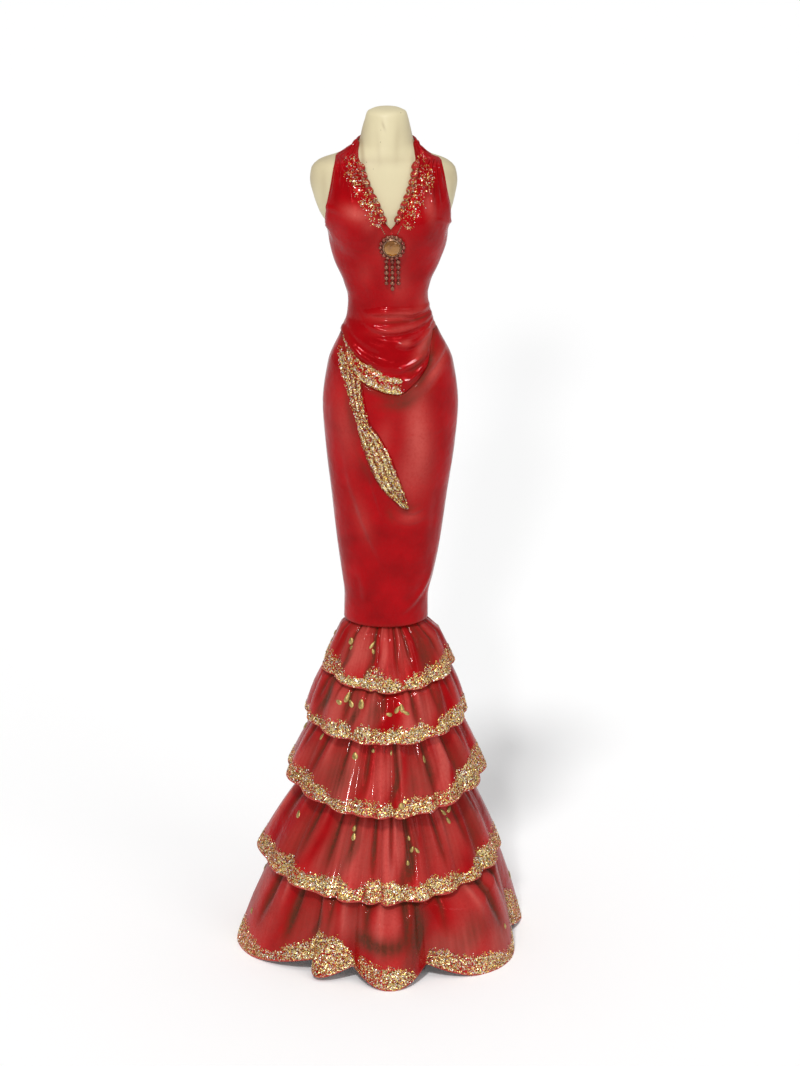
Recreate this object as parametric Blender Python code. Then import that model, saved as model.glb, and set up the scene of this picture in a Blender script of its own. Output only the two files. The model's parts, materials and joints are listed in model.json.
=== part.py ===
"""A doll-size flamenco gown on a limbless dress form, modelled in millimetres and written in metres.

The gown is a halter bodice with a draped hip, a sheath skirt, a glittered sash and five gathered ruffles.
Front is -Y, +Z is up, and the origin is the centre of the stand's underside.
phi is the angle round the body from the front centre, positive towards +X.
"""

import math

import bmesh
import bpy
import numpy as np

MM = 0.001
GAP = 0.4  # between pieces that lie on each other
WALL = 1.0  # the cloth, across its thickness
RUFFLE_REACH = 1.6  # the most that a ruffle's wall takes up on the level
LAYER = GAP + WALL
ON_FORM = LAYER + 0.1  # from the form out to the cloth's outer face
BODY_SIDES = 36  # columns round the form; the cloth on it has the same, and the same levels
BODY_LEVELS = (
    307.4, 304.8, 302.4, 301.4, 300.2, 297.4, 293.0, 288.4, 284.4, 281.0, 279.2, 277.6,
    274.2, 270.8, 266.4, 260.0, 253.0,
)

# Heights
FORM_UNDER_Z = 196.0
SHEATH_HEM_Z = 128.0
WAIST_LOW_Z, WAIST_HIGH_Z = 246.0, 258.0  # between these the bodice leaves the sheath for the form
V_BOTTOM_Z = 277.6
ARMHOLE_Z = 276.0
LOW_BACK_Z = 262.0
SHOULDER_SEAM_Z = 302.4
HALTER_LOW_Z = 301.0
COLLAR_Z = 307.4
STRAP_TOP = math.radians(74)  # how far from the front the straps' inner edges meet the collar
SEAM_TURN = 0.045  # how far behind the side seams the back pieces begin, in radians

# The dress form by height: half width, centre x, depth in front of and behind the axis, section exponent
FORM_COLUMNS = ("z", "half", "centre", "front", "back", "power")
FORM = (
    (318.8, 5.0, -0.3, 4.6, 5.2, 2.0),
    (317.8, 6.9, -0.3, 6.4, 7.0, 2.0),
    (315.4, 7.7, -0.3, 7.2, 8.0, 2.0),
    (312.0, 8.6, -0.4, 8.0, 8.8, 2.0),
    (307.5, 9.7, -0.4, 8.8, 9.6, 2.0),
    (304.5, 12.6, -0.8, 9.4, 10.2, 2.1),
    (302.0, 17.6, -1.4, 9.8, 10.8, 2.2),
    (300.0, 23.2, -1.6, 10.2, 11.2, 2.3),
    (297.5, 25.6, -1.5, 10.6, 11.6, 2.3),
    (293.5, 26.2, -1.4, 11.0, 12.0, 2.3),
    (288.0, 25.2, -1.2, 11.6, 12.2, 2.3),
    (282.0, 23.4, -0.9, 12.2, 12.0, 2.2),
    (276.0, 20.7, -0.1, 12.4, 11.4, 2.1),
    (270.0, 19.4, 0.1, 11.9, 10.8, 2.1),
    (264.0, 17.4, -0.2, 11.2, 10.2, 2.1),
    (257.0, 14.4, -0.2, 10.2, 9.2, 2.1),
    (250.0, 12.6, 0.0, 9.3, 8.5, 2.1),
    (244.0, 12.0, 0.5, 8.5, 8.1, 2.1),
    (237.0, 14.6, 0.8, 9.8, 10.4, 2.1),
    (226.0, 19.2, 1.0, 11.9, 13.6, 2.2),
    (210.0, 21.8, 0.9, 13.2, 15.9, 2.2),
    (196.0, 20.6, 0.8, 13.0, 15.4, 2.2),
)
# The sheath's outer face by height, in the same columns
SHEATH = (
    (258.0, 15.8, -0.1, 11.6, 10.6, 2.1),
    (252.0, 14.0, 0.1, 10.8, 10.0, 2.1),
    (244.0, 14.9, 0.5, 11.4, 11.2, 2.1),
    (237.0, 17.8, 0.8, 12.9, 13.5, 2.1),
    (226.0, 22.6, 1.0, 14.8, 16.6, 2.2),
    (210.0, 24.6, 0.9, 15.8, 18.6, 2.2),
    (195.0, 23.5, 0.8, 15.8, 18.2, 2.2),
    (177.0, 21.2, 0.5, 15.2, 16.2, 2.2),
    (158.0, 18.9, 0.2, 14.2, 14.6, 2.1),
    (145.0, 16.9, -0.1, 13.4, 13.4, 2.1),
    (136.0, 15.4, -0.7, 12.8, 12.8, 2.0),
    (128.0, 15.5, -0.8, 12.9, 12.9, 2.0),
)
# Two soft cups on the form's front
CUP_X, CUP_Z = 12.4, 278.5
CUP_RISE, CUP_SPREAD_X, CUP_SPREAD_Z = 3.8, 5.8, 7.2

# The neckline's and the armholes' edges by height: x of each on the left and on the right
EDGE_COLUMNS = ("z", "neck_left", "neck_right", "arm_left", "arm_right")
EDGES = (
    (276.0, 1.2, 1.2, -22.6, 22.6),
    (277.6, 1.2, 1.2, -21.5, 21.3),
    (280.0, -0.6, 2.8, -21.5, 21.6),
    (285.4, -3.2, 5.2, -21.2, 21.7),
    (288.0, -4.3, 6.3, -20.8, 21.4),
    (293.2, -6.8, 8.2, -20.0, 20.7),
    (298.0, -8.6, 9.4, -19.3, 19.8),
    (302.4, -9.8, 9.9, -18.3, 18.6),
)
# The bodice's draped lower edge by x, and the level that it keeps behind
DRAPE_COLUMNS = ("x", "z")
DRAPE = (
    (-21.0, 238.0),
    (-18.0, 233.5),
    (-12.8, 226.0),
    (-5.6, 220.4),
    (2.6, 217.4),
    (8.0, 220.6),
    (12.0, 225.4),
    (17.0, 234.0),
    (21.0, 239.5),
)
DRAPE_SIDE_Z = 238.0
DRAPE_TUCK = 6.0  # how far the sheath runs up behind the drape
TUCK_RUN = 3.0  # how far below the drape it starts to sink in
TUCK_DEPTH = 1.15
DRAPE_RISE = 0.3  # how far the bodice's outer face stands out from the sheath's at the drape
DRAPE_SHARES = (0.0, 0.14, 0.28, 0.42, 0.56, 0.7, 0.85, 1.0)  # rows from the drape's edge up
DRAPE_TOP_Z = 247.0

# Soft ridges: each is a curve from a start past a middle to an end, with its width and height
RIDGE_COLUMNS = ("start_x", "start_z", "middle_x", "middle_z", "end_x", "end_z", "width", "height")
RIDGE_STEPS = 12
BODICE_RIDGES = (
    (-9.0, 246.0, 1.5, 244.4, 12.0, 249.0, 1.8, 0.7),
    (-4.0, 240.6, 6.0, 239.6, 16.5, 245.0, 1.8, 0.7),
    (-17.0, 240.0, -4.0, 222.0, 9.0, 226.5, 2.0, 0.9),
    (4.0, 222.0, 14.0, 226.0, 17.5, 239.0, 2.0, 0.8),
)
SHEATH_RIDGES = (
    (-14.0, 182.0, -8.0, 166.0, -1.5, 150.0, 2.0, 0.8),
    (14.5, 165.0, 13.0, 146.0, 4.0, 134.0, 1.8, 0.7),
    (3.0, 176.0, 7.0, 167.0, 13.0, 170.0, 1.6, 0.5),
    (12.0, 222.0, 15.0, 204.0, 12.5, 186.0, 3.0, 0.6),
)

# The sash on the skirt's left front: x of its two edges by height; its top follows the drape
SASH_COLUMNS = ("z", "left", "right")
SASH = (
    (222.0, -17.4, -9.4),
    (214.0, -13.6, -8.0),
    (207.0, -11.2, -6.4),
    (203.0, -10.4, -3.4),
    (194.0, -7.8, 1.3),
    (184.0, -3.3, 4.8),
    (178.5, 1.2, 6.7),
    (175.0, 5.2, 7.4),
)
SASH_LEVELS = (222.0, 219.0, 216.0, 213.0, 208.5, 204.0, 199.0, 194.0, 189.0, 184.0, 181.0, 178.0, 175.0)
SASH_FREE_Z = 213.0  # below this it hangs straight
SASH_FOLDS, SASH_FOLD_RISE = 3, 0.5

# Ruffles, top down: top and hem heights, how far the hem dips in front, the crests' half width
# and centre at the hem, depths as shares of it, how much it widens for each millimetre down,
# the depth of the valleys at the hem, and how far the hem lifts in a valley
RUFFLE_COLUMNS = (
    "top", "hem", "dip", "half", "centre", "front", "back", "flare", "bulge", "depth", "lift",
)
RUFFLES = (
    (132.5, 109.6, 3.8, 25.3, 0.1, 0.93, 0.95, 0.50, 0.4, 1.7, 0.3),
    (119.0, 90.0, 2.8, 30.8, -0.8, 0.93, 0.96, 0.48, 2.0, 1.7, 0.3),
    (99.0, 67.6, 7.0, 38.0, -1.2, 0.93, 0.97, 0.52, 0.7, 1.9, 0.4),
    (77.0, 35.2, 5.6, 46.4, -3.2, 0.93, 0.98, 0.60, 1.8, 2.2, 0.5),
    (45.0, 0.2, 0.0, 54.6, -2.8, 0.99, 1.0, 0.38, 1.2, 9.0, 5.0),
)
# The folds across each ruffle's front, as (valley, level, crest, lean): where a valley lies, in degrees,
# how far out it and the crest to its right come, as shares of the depth, and how far across the crest lies
FOLDS = (
    ((-61, 0, 0.9, 0.5), (-25, 0.2, 0.5, 0.6), (-12, 0, 1.0, 0.4), (18, 0.1, 0.7, 0.5), (45, 0, 1.0, 0.5)),
    (
        (-60, 0, 1.0, 0.5), (-31, 0, 0.9, 0.6), (-9, 0.3, 0.6, 0.4), (5, 0, 1.0, 0.45),
        (33, 0.2, 0.8, 0.6), (56, 0, 1.0, 0.5),
    ),
    (
        (-64, 0, 0.8, 0.5), (-41, 0, 0.9, 0.6), (-22, 0.2, 0.6, 0.5), (-10, 0.3, 0.7, 0.4),
        (3, 0, 0.9, 0.35), (18, 0.2, 0.8, 0.6), (34, 0, 0.9, 0.4), (55, 0.1, 1.1, 0.5),
    ),
    (
        (-56, 0, 0.8, 0.4), (-38, 0.3, 0.6, 0.6), (-27, 0, 0.8, 0.4), (-14, 0.2, 0.7, 0.5),
        (-4, 0, 1.0, 0.3), (8, 0.2, 0.9, 0.6), (25, 0.1, 0.8, 0.5), (42, 0, 0.8, 0.6),
        (60, 0.1, 1.0, 0.5),
    ),
    (
        (-104, 0.3, 1.1, 0.42), (-36, 0, 0.7, 0.3), (-16.7, 0, 1.0, 0.5), (19, 0, 1.2, 0.5),
        (84, 0.4, 1.05, 0.5), (128, 0.2, 0.9, 0.5),
    ),
)
BACK_VALLEYS = (7, 8, 8, 10, 3)  # valleys behind, unevenly spaced and with uneven crests
BACK_SHIFT, BACK_SHIFT_TURN = 0.16, 2.4
BACK_CREST, BACK_CREST_CHANGE, BACK_CREST_TURN = 0.85, 0.2, 3.7
BACK_LEAN, BACK_LEAN_CHANGE, BACK_LEAN_TURN = 0.5, 0.12, 2.9
BACK_LEVEL, BACK_LEVEL_TURN = 0.15, 4.3
FOLD_SAMPLES = (5, 5, 5, 5, 7)  # columns in each fold
BANDS = (3, 3, 3, 4, 5)  # rows of faces below the hem above
FOLD_ROUNDNESS = (0.85, 0.85, 0.85, 0.85, 0.95)
GATHERED = 0.25  # the depth of the valleys at the top, as a share of that at the hem
DIP_ROUNDNESS = 1.5
RELEASE = 1.1  # how fast a ruffle may widen below the hem that hides its top
TOP_BLEND = 8.0  # how far down it leaves the piece above
SHEATH_SLACK = 0.2

# Brooch
BROOCH_X, BROOCH_Z = 1.6, 272.4
BROOCH_RADIUS, BROOCH_PLATE, BROOCH_EDGE = 4.5, 1.0, 0.3
STONE_RADIUS, STONE_TABLE, STONE_GIRDLE, STONE_RISE = 3.0, 1.6, 0.4, 1.4

# Scalloped trim along the neckline
TRIM_LOW_Z, TRIM_HIGH_Z = 281.0, 301.5
TRIM_LOBES, TRIM_REACH, TRIM_WIDTH, TRIM_WALL = 7, 1.1, 1.3, 1.0

# Stand, as (radius, height): a base plate, a pole, and the flange that carries the form
STAND_TOP_Z = FORM_UNDER_Z - 0.3
STAND = (
    (27.0, 0.0),
    (27.0, 2.8),
    (25.5, 4.0),
    (5.0, 4.6),
    (3.0, 7.0),
    (3.0, STAND_TOP_Z - 4.0),
    (8.0, STAND_TOP_Z - 2.0),
    (8.0, STAND_TOP_Z),
)
STAND_SIDES = 32

RED = (0.52, 0.006, 0.012)
CREAM = (0.78, 0.70, 0.50)
GOLD = (0.62, 0.46, 0.16)
AMBER = (0.60, 0.28, 0.03)
DARK_METAL = (0.20, 0.13, 0.08)


def column(table, names, wanted):
    return np.array([row[names.index(wanted)] for row in table], float)


def curve_through(xs, ys, x):
    """The value at x of a smooth curve through the points, with no overshoot between them."""
    if xs[0] > xs[-1]:
        xs, ys = xs[::-1], ys[::-1]
    x = min(max(x, xs[0]), xs[-1])
    steps = np.diff(xs)
    slopes = np.diff(ys) / steps
    tangents = np.concatenate([[slopes[0]], np.zeros(len(xs) - 2), [slopes[-1]]])
    for k in range(1, len(xs) - 1):
        if slopes[k - 1] * slopes[k] > 0:
            tangents[k] = 2 * slopes[k - 1] * slopes[k] / (slopes[k - 1] + slopes[k])
    i = min(int(np.searchsorted(xs, x, side="right")) - 1, len(xs) - 2)
    t = (x - xs[i]) / steps[i]
    return float(
        ys[i] * (1 + 2 * t) * (1 - t) ** 2
        + tangents[i] * steps[i] * t * (1 - t) ** 2
        + ys[i + 1] * t * t * (3 - 2 * t)
        + tangents[i + 1] * steps[i] * t * t * (t - 1)
    )


def at(table, names, wanted, where):
    """A table's named column at a value of its first column."""
    return curve_through(column(table, names, names[0]), column(table, names, wanted), where)


def lerp(a, b, t):
    return a + (b - a) * t


def smoothstep(t):
    t = min(max(t, 0.0), 1.0)
    return t * t * (3 - 2 * t)


def signed_power(value, power):
    return math.copysign(abs(value) ** power, value)


def section_point(table, phi, z):
    half, centre, front, back, power = (at(table, FORM_COLUMNS, name, z) for name in FORM_COLUMNS[1:])
    side, ahead = math.sin(phi), math.cos(phi)
    x = centre + half * signed_power(side, 2 / power)
    y = -(front if ahead > 0 else back) * signed_power(ahead, 2 / power)
    return np.array((x, y, z))


def form_point(phi, z):
    """A point of the dress form, with its two soft cups."""
    point = section_point(FORM, phi, z)
    if math.cos(phi) > 0:
        aside = (abs(point[0] - 0.3) - CUP_X) / CUP_SPREAD_X
        above = (z - CUP_Z) / (CUP_SPREAD_Z * (1.35 if z > CUP_Z else 1.0))
        point[1] -= CUP_RISE * math.exp(-aside * aside - above * above) * smoothstep(2 * math.cos(phi))
    return point


def sheath_point(phi, z):
    return section_point(SHEATH, phi, z)


def moved_out(surface, phi, z, by):
    """A surface's point moved out along its normal."""
    step_phi, step_z = 0.02, 0.25
    round_it = surface(phi + step_phi, z) - surface(phi - step_phi, z)
    up_it = surface(phi, z + step_z) - surface(phi, z - step_z)
    normal = np.cross(round_it, up_it)
    return surface(phi, z) + normal / np.linalg.norm(normal) * by


def ridge_height(ridges, x, z):
    """How far the ridges raise the cloth at x and z: the highest of them counts."""
    raised = 0.0
    for row in ridges:
        ridge = dict(zip(RIDGE_COLUMNS, row))
        for k in range(RIDGE_STEPS + 1):
            t = k / RIDGE_STEPS
            on = [
                (1 - t) ** 2 * ridge["start_" + axis]
                + 2 * t * (1 - t) * ridge["middle_" + axis]
                + t * t * ridge["end_" + axis]
                for axis in "xz"
            ]
            far = math.dist((x, z), on) / ridge["width"]
            fading = math.sin(math.pi * lerp(0.08, 0.92, t))
            raised = max(raised, ridge["height"] * fading * math.exp(-far * far))
    return raised


def drape_z(phi):
    """The height of the bodice's lower edge at phi."""
    if math.cos(phi) <= 0:
        return DRAPE_SIDE_Z
    x = at(SHEATH, FORM_COLUMNS, "half", 226.0) * math.sin(phi)
    return at(DRAPE, DRAPE_COLUMNS, "z", x)


def sheath_face(phi, z, out=0.0, tucks=True):
    """The sheath's outer face: it sinks in behind the drape, and carries its own ridges in front."""
    tucked = smoothstep((z - drape_z(phi) + TUCK_RUN) / TUCK_RUN) if tucks else 0.0
    point = sheath_point(phi, z)
    raised = ridge_height(SHEATH_RIDGES, point[0], z) if math.cos(phi) > 0 else 0.0
    return moved_out(sheath_point, phi, z, out + raised * (1 - tucked) - TUCK_DEPTH * tucked)


def bodice_face(phi, z, out=0.0):
    """The bodice's outer face: on the form above the waist, and on the sheath below it."""
    upper = moved_out(form_point, phi, z, ON_FORM + out)
    if z >= WAIST_HIGH_Z:
        return upper
    share = smoothstep((WAIST_HIGH_Z - z) / (WAIST_HIGH_Z - WAIST_LOW_Z))
    point = sheath_point(phi, z)
    raised = ridge_height(BODICE_RIDGES, point[0], z) if math.cos(phi) > 0 else 0.0
    lower = moved_out(sheath_point, phi, z, out + DRAPE_RISE + (raised if out >= 0 else 0.0))
    return upper * (1 - share) + lower * share


def metres(points):
    return [tuple(float(c) * MM for c in point) for point in points]


def material(name, colour, roughness, metallic=0.0, coat=0.0):
    made = bpy.data.materials.new(name)
    made.use_nodes = True
    shader = made.node_tree.nodes["Principled BSDF"]
    shader.inputs["Base Color"].default_value = (*colour, 1)
    shader.inputs["Roughness"].default_value = roughness
    shader.inputs["Metallic"].default_value = metallic
    shader.inputs["Coat Weight"].default_value = coat
    made.diffuse_color = (*colour, 1)
    return made


def add_object(name, points, faces, finish):
    """A mesh object with its faces pointing out, shaded smooth but for its sharp edges."""
    mesh = bpy.data.meshes.new(name)
    mesh.from_pydata(metres(points), [], faces)
    cleaned = bmesh.new()
    cleaned.from_mesh(mesh)
    bmesh.ops.recalc_face_normals(cleaned, faces=cleaned.faces)
    if cleaned.calc_volume(signed=True) < 0:
        bmesh.ops.reverse_faces(cleaned, faces=cleaned.faces)
    cleaned.to_mesh(mesh)
    cleaned.free()
    mesh.materials.append(finish)
    mesh.shade_smooth()
    mesh.set_sharp_from_angle(angle=math.radians(50))
    made = bpy.data.objects.new(name, mesh)
    bpy.context.scene.collection.objects.link(made)
    return made


def cloth(name, patches, finish):
    """A closed wall from patches of (outer, inner) points in rows; points that patches share are one."""
    number, outer, inner, faces = {}, [], [], []
    for patch in patches:
        ids = []
        for row in patch:
            ids.append([])
            for face_out, face_in in row:
                key = tuple(round(float(c), 4) for c in face_out)
                if key not in number:
                    number[key] = len(outer)
                    outer.append(face_out)
                    inner.append(face_in)
                ids[-1].append(number[key])
        for low, high in zip(ids, ids[1:]):
            for a, b, c, d in zip(low, low[1:], high[1:], high):
                if math.dist(outer[a], outer[c]) <= math.dist(outer[b], outer[d]):
                    faces += [(a, b, c), (a, c, d)]
                else:
                    faces += [(a, b, d), (b, c, d)]
    count = len(outer)
    used = {}
    for face in faces:
        for a, b in zip(face, face[1:] + face[:1]):
            used.setdefault(frozenset((a, b)), []).append((a, b))
    rims = [ends[0] for ends in used.values() if len(ends) == 1]
    back_faces = [tuple(i + count for i in reversed(face)) for face in faces]
    rim_faces = [(b, a, a + count, b + count) for a, b in rims]
    return add_object(name, outer + inner, faces + back_faces + rim_faces, finish)


def loft(name, rings, finish):
    """A solid through rings of points, with its two ends capped."""
    size = len(rings[0])
    faces = [
        (r * size + i, r * size + (i + 1) % size, (r + 1) * size + (i + 1) % size, (r + 1) * size + i)
        for r in range(len(rings) - 1)
        for i in range(size)
    ]
    faces.append(tuple(range(size)))
    faces.append(tuple((len(rings) - 1) * size + i for i in reversed(range(size))))
    return add_object(name, [point for ring in rings for point in ring], faces, finish)


def form_torso(finish):
    heights = (318.8, 317.8, 315.4, 312.0) + BODY_LEVELS + (247.0, 241.0, 234.0, 224.0, 210.0, 196.0)
    rings = [[form_point(2 * math.pi * k / BODY_SIDES, z) for k in range(BODY_SIDES)] for z in heights]
    loft("form_torso", rings, finish)


def form_stand(finish):
    turns = [2 * math.pi * k / STAND_SIDES for k in range(STAND_SIDES)]
    rings = [[(radius * math.sin(t), -radius * math.cos(t), z) for t in turns] for radius, z in STAND]
    loft("form_stand", rings, finish)


def angle_at(table, x, z):
    """The angle at which a section's front passes x at height z."""
    half, centre, power = (at(table, FORM_COLUMNS, name, z) for name in ("half", "centre", "power"))
    share = min(max((x - centre) / half, -1.0), 1.0)
    return math.asin(signed_power(share, power / 2))


def edge_angle(name, z):
    """The angle of one of the bodice's edges at height z."""
    return angle_at(FORM, at(EDGES, EDGE_COLUMNS, name, z), z)


def bodice_front(finish):
    """The halter front: a left and a right half that share their centre below the V."""
    columns = BODY_SIDES // 4
    centre = edge_angle("neck_left", V_BOTTOM_Z)
    patches = []
    for side, name in ((-1, "left"), (1, "right")):
        seam = side * math.pi / 2
        patch = []
        for share in DRAPE_SHARES:
            angles = [lerp(centre, seam, k / columns) for k in range(columns + 1)]
            patch.append([(phi, lerp(drape_z(phi), DRAPE_TOP_Z, share)) for phi in angles])
        for z in reversed(BODY_LEVELS):
            inner = edge_angle(f"neck_{name}", min(max(z, V_BOTTOM_Z), SHOULDER_SEAM_Z))
            outer = seam if z <= ARMHOLE_Z or z >= SHOULDER_SEAM_Z else edge_angle(f"arm_{name}", z)
            over = max(0.0, (z - SHOULDER_SEAM_Z) / (COLLAR_Z - SHOULDER_SEAM_Z))
            inner = lerp(inner, STRAP_TOP * side, over)
            patch.append([(lerp(inner, outer, k / columns), z) for k in range(columns + 1)])
        patches.append(
            [[(bodice_face(phi, z), bodice_face(phi, z, -WALL)) for phi, z in row] for row in patch]
        )
    cloth("bodice_front", patches, finish)


def back_angles(columns, seam):
    """Angles from the right side seam round the back to the left one, clear of both seams."""
    start = math.pi / 2 + seam
    return [lerp(start, 2 * math.pi - start, k / columns) for k in range(columns + 1)]


def low_back_z(phi):
    return lerp(ARMHOLE_Z, LOW_BACK_Z, smoothstep(-1.25 * math.cos(phi)))


def bodice_back(finish):
    columns, rows = 16, 8
    patch = []
    for k in range(rows + 1):
        row = []
        for phi in back_angles(columns, SEAM_TURN):
            z = lerp(DRAPE_SIDE_Z, low_back_z(phi), k / rows)
            row.append((bodice_face(phi, z), bodice_face(phi, z, -WALL)))
        patch.append(row)
    cloth("bodice_back", [patch], finish)


def halter_back(finish):
    """The gathered straps where they meet behind the neck."""
    columns, rows = 14, 3
    patch = []
    for k in range(rows + 1):
        row = []
        for phi in back_angles(columns, SEAM_TURN):
            low = lerp(SHOULDER_SEAM_Z, HALTER_LOW_Z, smoothstep(-1.5 * math.cos(phi)))
            z = lerp(low, COLLAR_Z, k / rows)
            row.append((bodice_face(phi, z), bodice_face(phi, z, -WALL)))
        patch.append(row)
    cloth("halter_back", [patch], finish)


def sheath_panel(name, angles, finish):
    """A front or back panel of the sheath, from behind the drape down to its hem."""
    rows = 8
    patch = []
    for above in (DRAPE_TUCK, DRAPE_TUCK / 2, DRAPE_RISE):
        patch.append([(phi, drape_z(phi) + above) for phi in angles])
    for k in range(rows + 1):
        patch.append([(phi, lerp(drape_z(phi) - TUCK_RUN, SHEATH_HEM_Z, k / rows)) for phi in angles])
    walls = [[(sheath_face(phi, z), sheath_face(phi, z, -WALL)) for phi, z in row] for row in patch]
    cloth(name, [walls], finish)


def sash(finish):
    """A folded sash that hangs from the drape's left end down the sheath's front."""
    columns = 2 * SASH_FOLDS
    top = SASH_LEVELS[0]
    patch = []
    for z in SASH_LEVELS:
        row = []
        for k in range(columns + 1):
            x = lerp(at(SASH, SASH_COLUMNS, "left", z), at(SASH, SASH_COLUMNS, "right", z), k / columns)
            phi = angle_at(SHEATH, x, z)
            near_drape = max(0.0, (z - SASH_FREE_Z) / (top - SASH_FREE_Z))
            level = z + near_drape * (drape_z(phi) - WALL - top)
            fold = SASH_FOLD_RISE * (k % 2)
            row.append(
                (sheath_face(phi, level, LAYER + fold, False), sheath_face(phi, level, GAP, False))
            )
        patch.append(row)
    cloth("sash", [patch], finish)


def folds_round(number):
    """All of a ruffle's folds: those in front, then an uneven row behind."""
    front = list(FOLDS[number])
    count = BACK_VALLEYS[number]
    last = front[-1][0]
    span = front[0][0] + 360 - last
    behind = []
    for k in range(1, count + 1):
        place = k + BACK_SHIFT * math.sin(BACK_SHIFT_TURN * k + number)
        crest = BACK_CREST + BACK_CREST_CHANGE * math.sin(BACK_CREST_TURN * k + 2 * number)
        lean = BACK_LEAN + BACK_LEAN_CHANGE * math.sin(BACK_LEAN_TURN * k + number)
        level = BACK_LEVEL * (1 + math.sin(BACK_LEVEL_TURN * k + number))
        behind.append((last + span * place / (count + 1), level, crest, lean))
    return front + behind


def wave_columns(number):
    """(angle, height of the wave from 0 in a valley to about 1 on a crest) round a ruffle."""
    folds = folds_round(number)
    samples = FOLD_SAMPLES[number]
    columns = []
    after = folds[1:] + [(folds[0][0] + 360, *folds[0][1:])]
    for (low, level, crest, lean), (high, next_level, _, _) in zip(folds, after):
        for k in range(samples):
            base = lerp(level, next_level, k / samples)
            height = lerp(base, crest, math.sin(math.pi * k / samples) ** FOLD_ROUNDNESS[number])
            across = (k / samples) ** (math.log(lean) / math.log(0.5))
            columns.append((math.radians(lerp(low, high, across)), height))
    return columns


class Ruffle:
    """One gathered ring: its outer face as a radius from the axis by angle and height."""

    def __init__(self, number, above):
        self.above = above
        for name, value in zip(RUFFLE_COLUMNS, RUFFLES[number]):
            setattr(self, name, value)
        self.bands = BANDS[number]
        self.columns = wave_columns(number)
        self.angles = np.array([angle for angle, _ in self.columns] + [self.columns[0][0] + 2 * math.pi])
        self.heights = np.array([height for _, height in self.columns] + [self.columns[0][1]])

    def wave(self, phi):
        turned = (phi - self.angles[0]) % (2 * math.pi) + self.angles[0]
        return float(np.interp(turned, self.angles, self.heights))

    def crest_hem_z(self, phi):
        return self.hem - self.dip * max(0.0, math.cos(phi)) ** DIP_ROUNDNESS

    def hem_z(self, phi):
        return self.crest_hem_z(phi) + self.lift * max(0.0, 1 - self.wave(phi))

    def crest_radius(self, phi, z):
        level = self.crest_hem_z(phi)
        up = min(max((z - level) / (self.top - level), 0.0), 1.0)
        radius = self.half - self.flare * (z - level) + self.bulge * math.sin(math.pi * up)
        depth = self.front if math.cos(phi) > 0 else self.back
        aside = self.centre * (1 - up) * math.sin(phi)
        return radius * (1 - (1 - depth) * math.cos(phi) ** 2) + aside

    def limit(self, phi, z):
        """The largest radius that stays inside the valleys of the piece above."""
        hem = self.above.hem_z(phi)
        held = self.above.radius(phi, max(z, hem), valley=True) - RUFFLE_REACH - GAP
        return held + RELEASE * max(0.0, hem - z)

    def radius(self, phi, z, valley=False):
        down = min(max((self.top - z) / (self.top - self.hem), 0.0), 1.0)
        wave = 0.0 if valley else self.wave(phi)
        own = self.crest_radius(phi, z) - self.depth * lerp(GATHERED, 1.0, down) * (1 - wave)
        limit = self.limit(phi, z)
        return lerp(limit, min(own, limit), smoothstep((self.top - z) / TOP_BLEND))


class SheathHem:
    """The sheath's hem, which hides the first ruffle's top."""

    def hem_z(self, phi):
        return SHEATH_HEM_Z

    def radius(self, phi, z, valley=True):
        half, centre, depth = (at(SHEATH, FORM_COLUMNS, name, z) for name in ("half", "centre", "front"))
        oval = half * depth / math.hypot(depth * math.sin(phi), half * math.cos(phi))
        return oval + centre * math.sin(phi) - SHEATH_SLACK


def unit(vectors):
    return vectors / np.linalg.norm(vectors, axis=-1, keepdims=True)


def level_wall(rows):
    """(outer, inner) points for closed rows of outer points: the wall is laid inwards on the level."""
    grid = np.array(rows)
    along = np.roll(grid, -1, axis=1) - grid
    down = np.diff(grid, axis=0)
    down = np.concatenate([down, down[-1:]])
    facing = unit(np.cross(down, along))
    facing *= np.sign((facing[..., :2] * grid[..., :2]).sum(axis=2))[..., None]
    meeting = [facing, np.roll(facing, 1, axis=1)]
    meeting += [np.concatenate([side[:1], side[:-1]]) for side in meeting]
    level = unit(sum(meeting) * (1, 1, 0))
    squareness = np.min([(side * level).sum(axis=2) for side in meeting], axis=0)
    inner = grid - level * np.clip(WALL / squareness, WALL, RUFFLE_REACH)[..., None]
    return [list(zip(*pair)) for pair in zip(grid, inner)]


def ruffle_solid(name, ruffle, finish):
    """A ruffle's wall: one band behind the hem above, and the rest below it."""
    rows = []
    for band in range(-1, ruffle.bands + 1):
        row = []
        for phi, _ in ruffle.columns:
            shown = lerp(ruffle.above.hem_z(phi), ruffle.hem_z(phi), band / ruffle.bands)
            z = ruffle.top if band < 0 else shown
            radius = ruffle.radius(phi, z)
            row.append((radius * math.sin(phi), -radius * math.cos(phi), z))
        rows.append(row)
    cloth(name, [[row + row[:1] for row in level_wall(rows)]], finish)


def neck_trim(name, side, edge_name, finish):
    """A scalloped trim on the neckline's edge, from the bodice's points moved out."""
    steps = TRIM_LOBES * 4
    low = ON_FORM + GAP
    patch = []
    for k in range(steps + 1):
        z = lerp(TRIM_LOW_Z, TRIM_HIGH_Z, k / steps)
        edge = at(EDGES, EDGE_COLUMNS, edge_name, z)
        scallop = TRIM_REACH * abs(math.sin(math.pi * TRIM_LOBES * k / steps))
        row = []
        for aside in (TRIM_WIDTH, TRIM_WIDTH / 2, -0.1 - scallop):
            phi = angle_at(FORM, edge + side * aside, z)
            row.append(
                (moved_out(form_point, phi, z, low + TRIM_WALL), moved_out(form_point, phi, z, low))
            )
        patch.append(row)
    cloth(name, [patch], finish)


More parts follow.
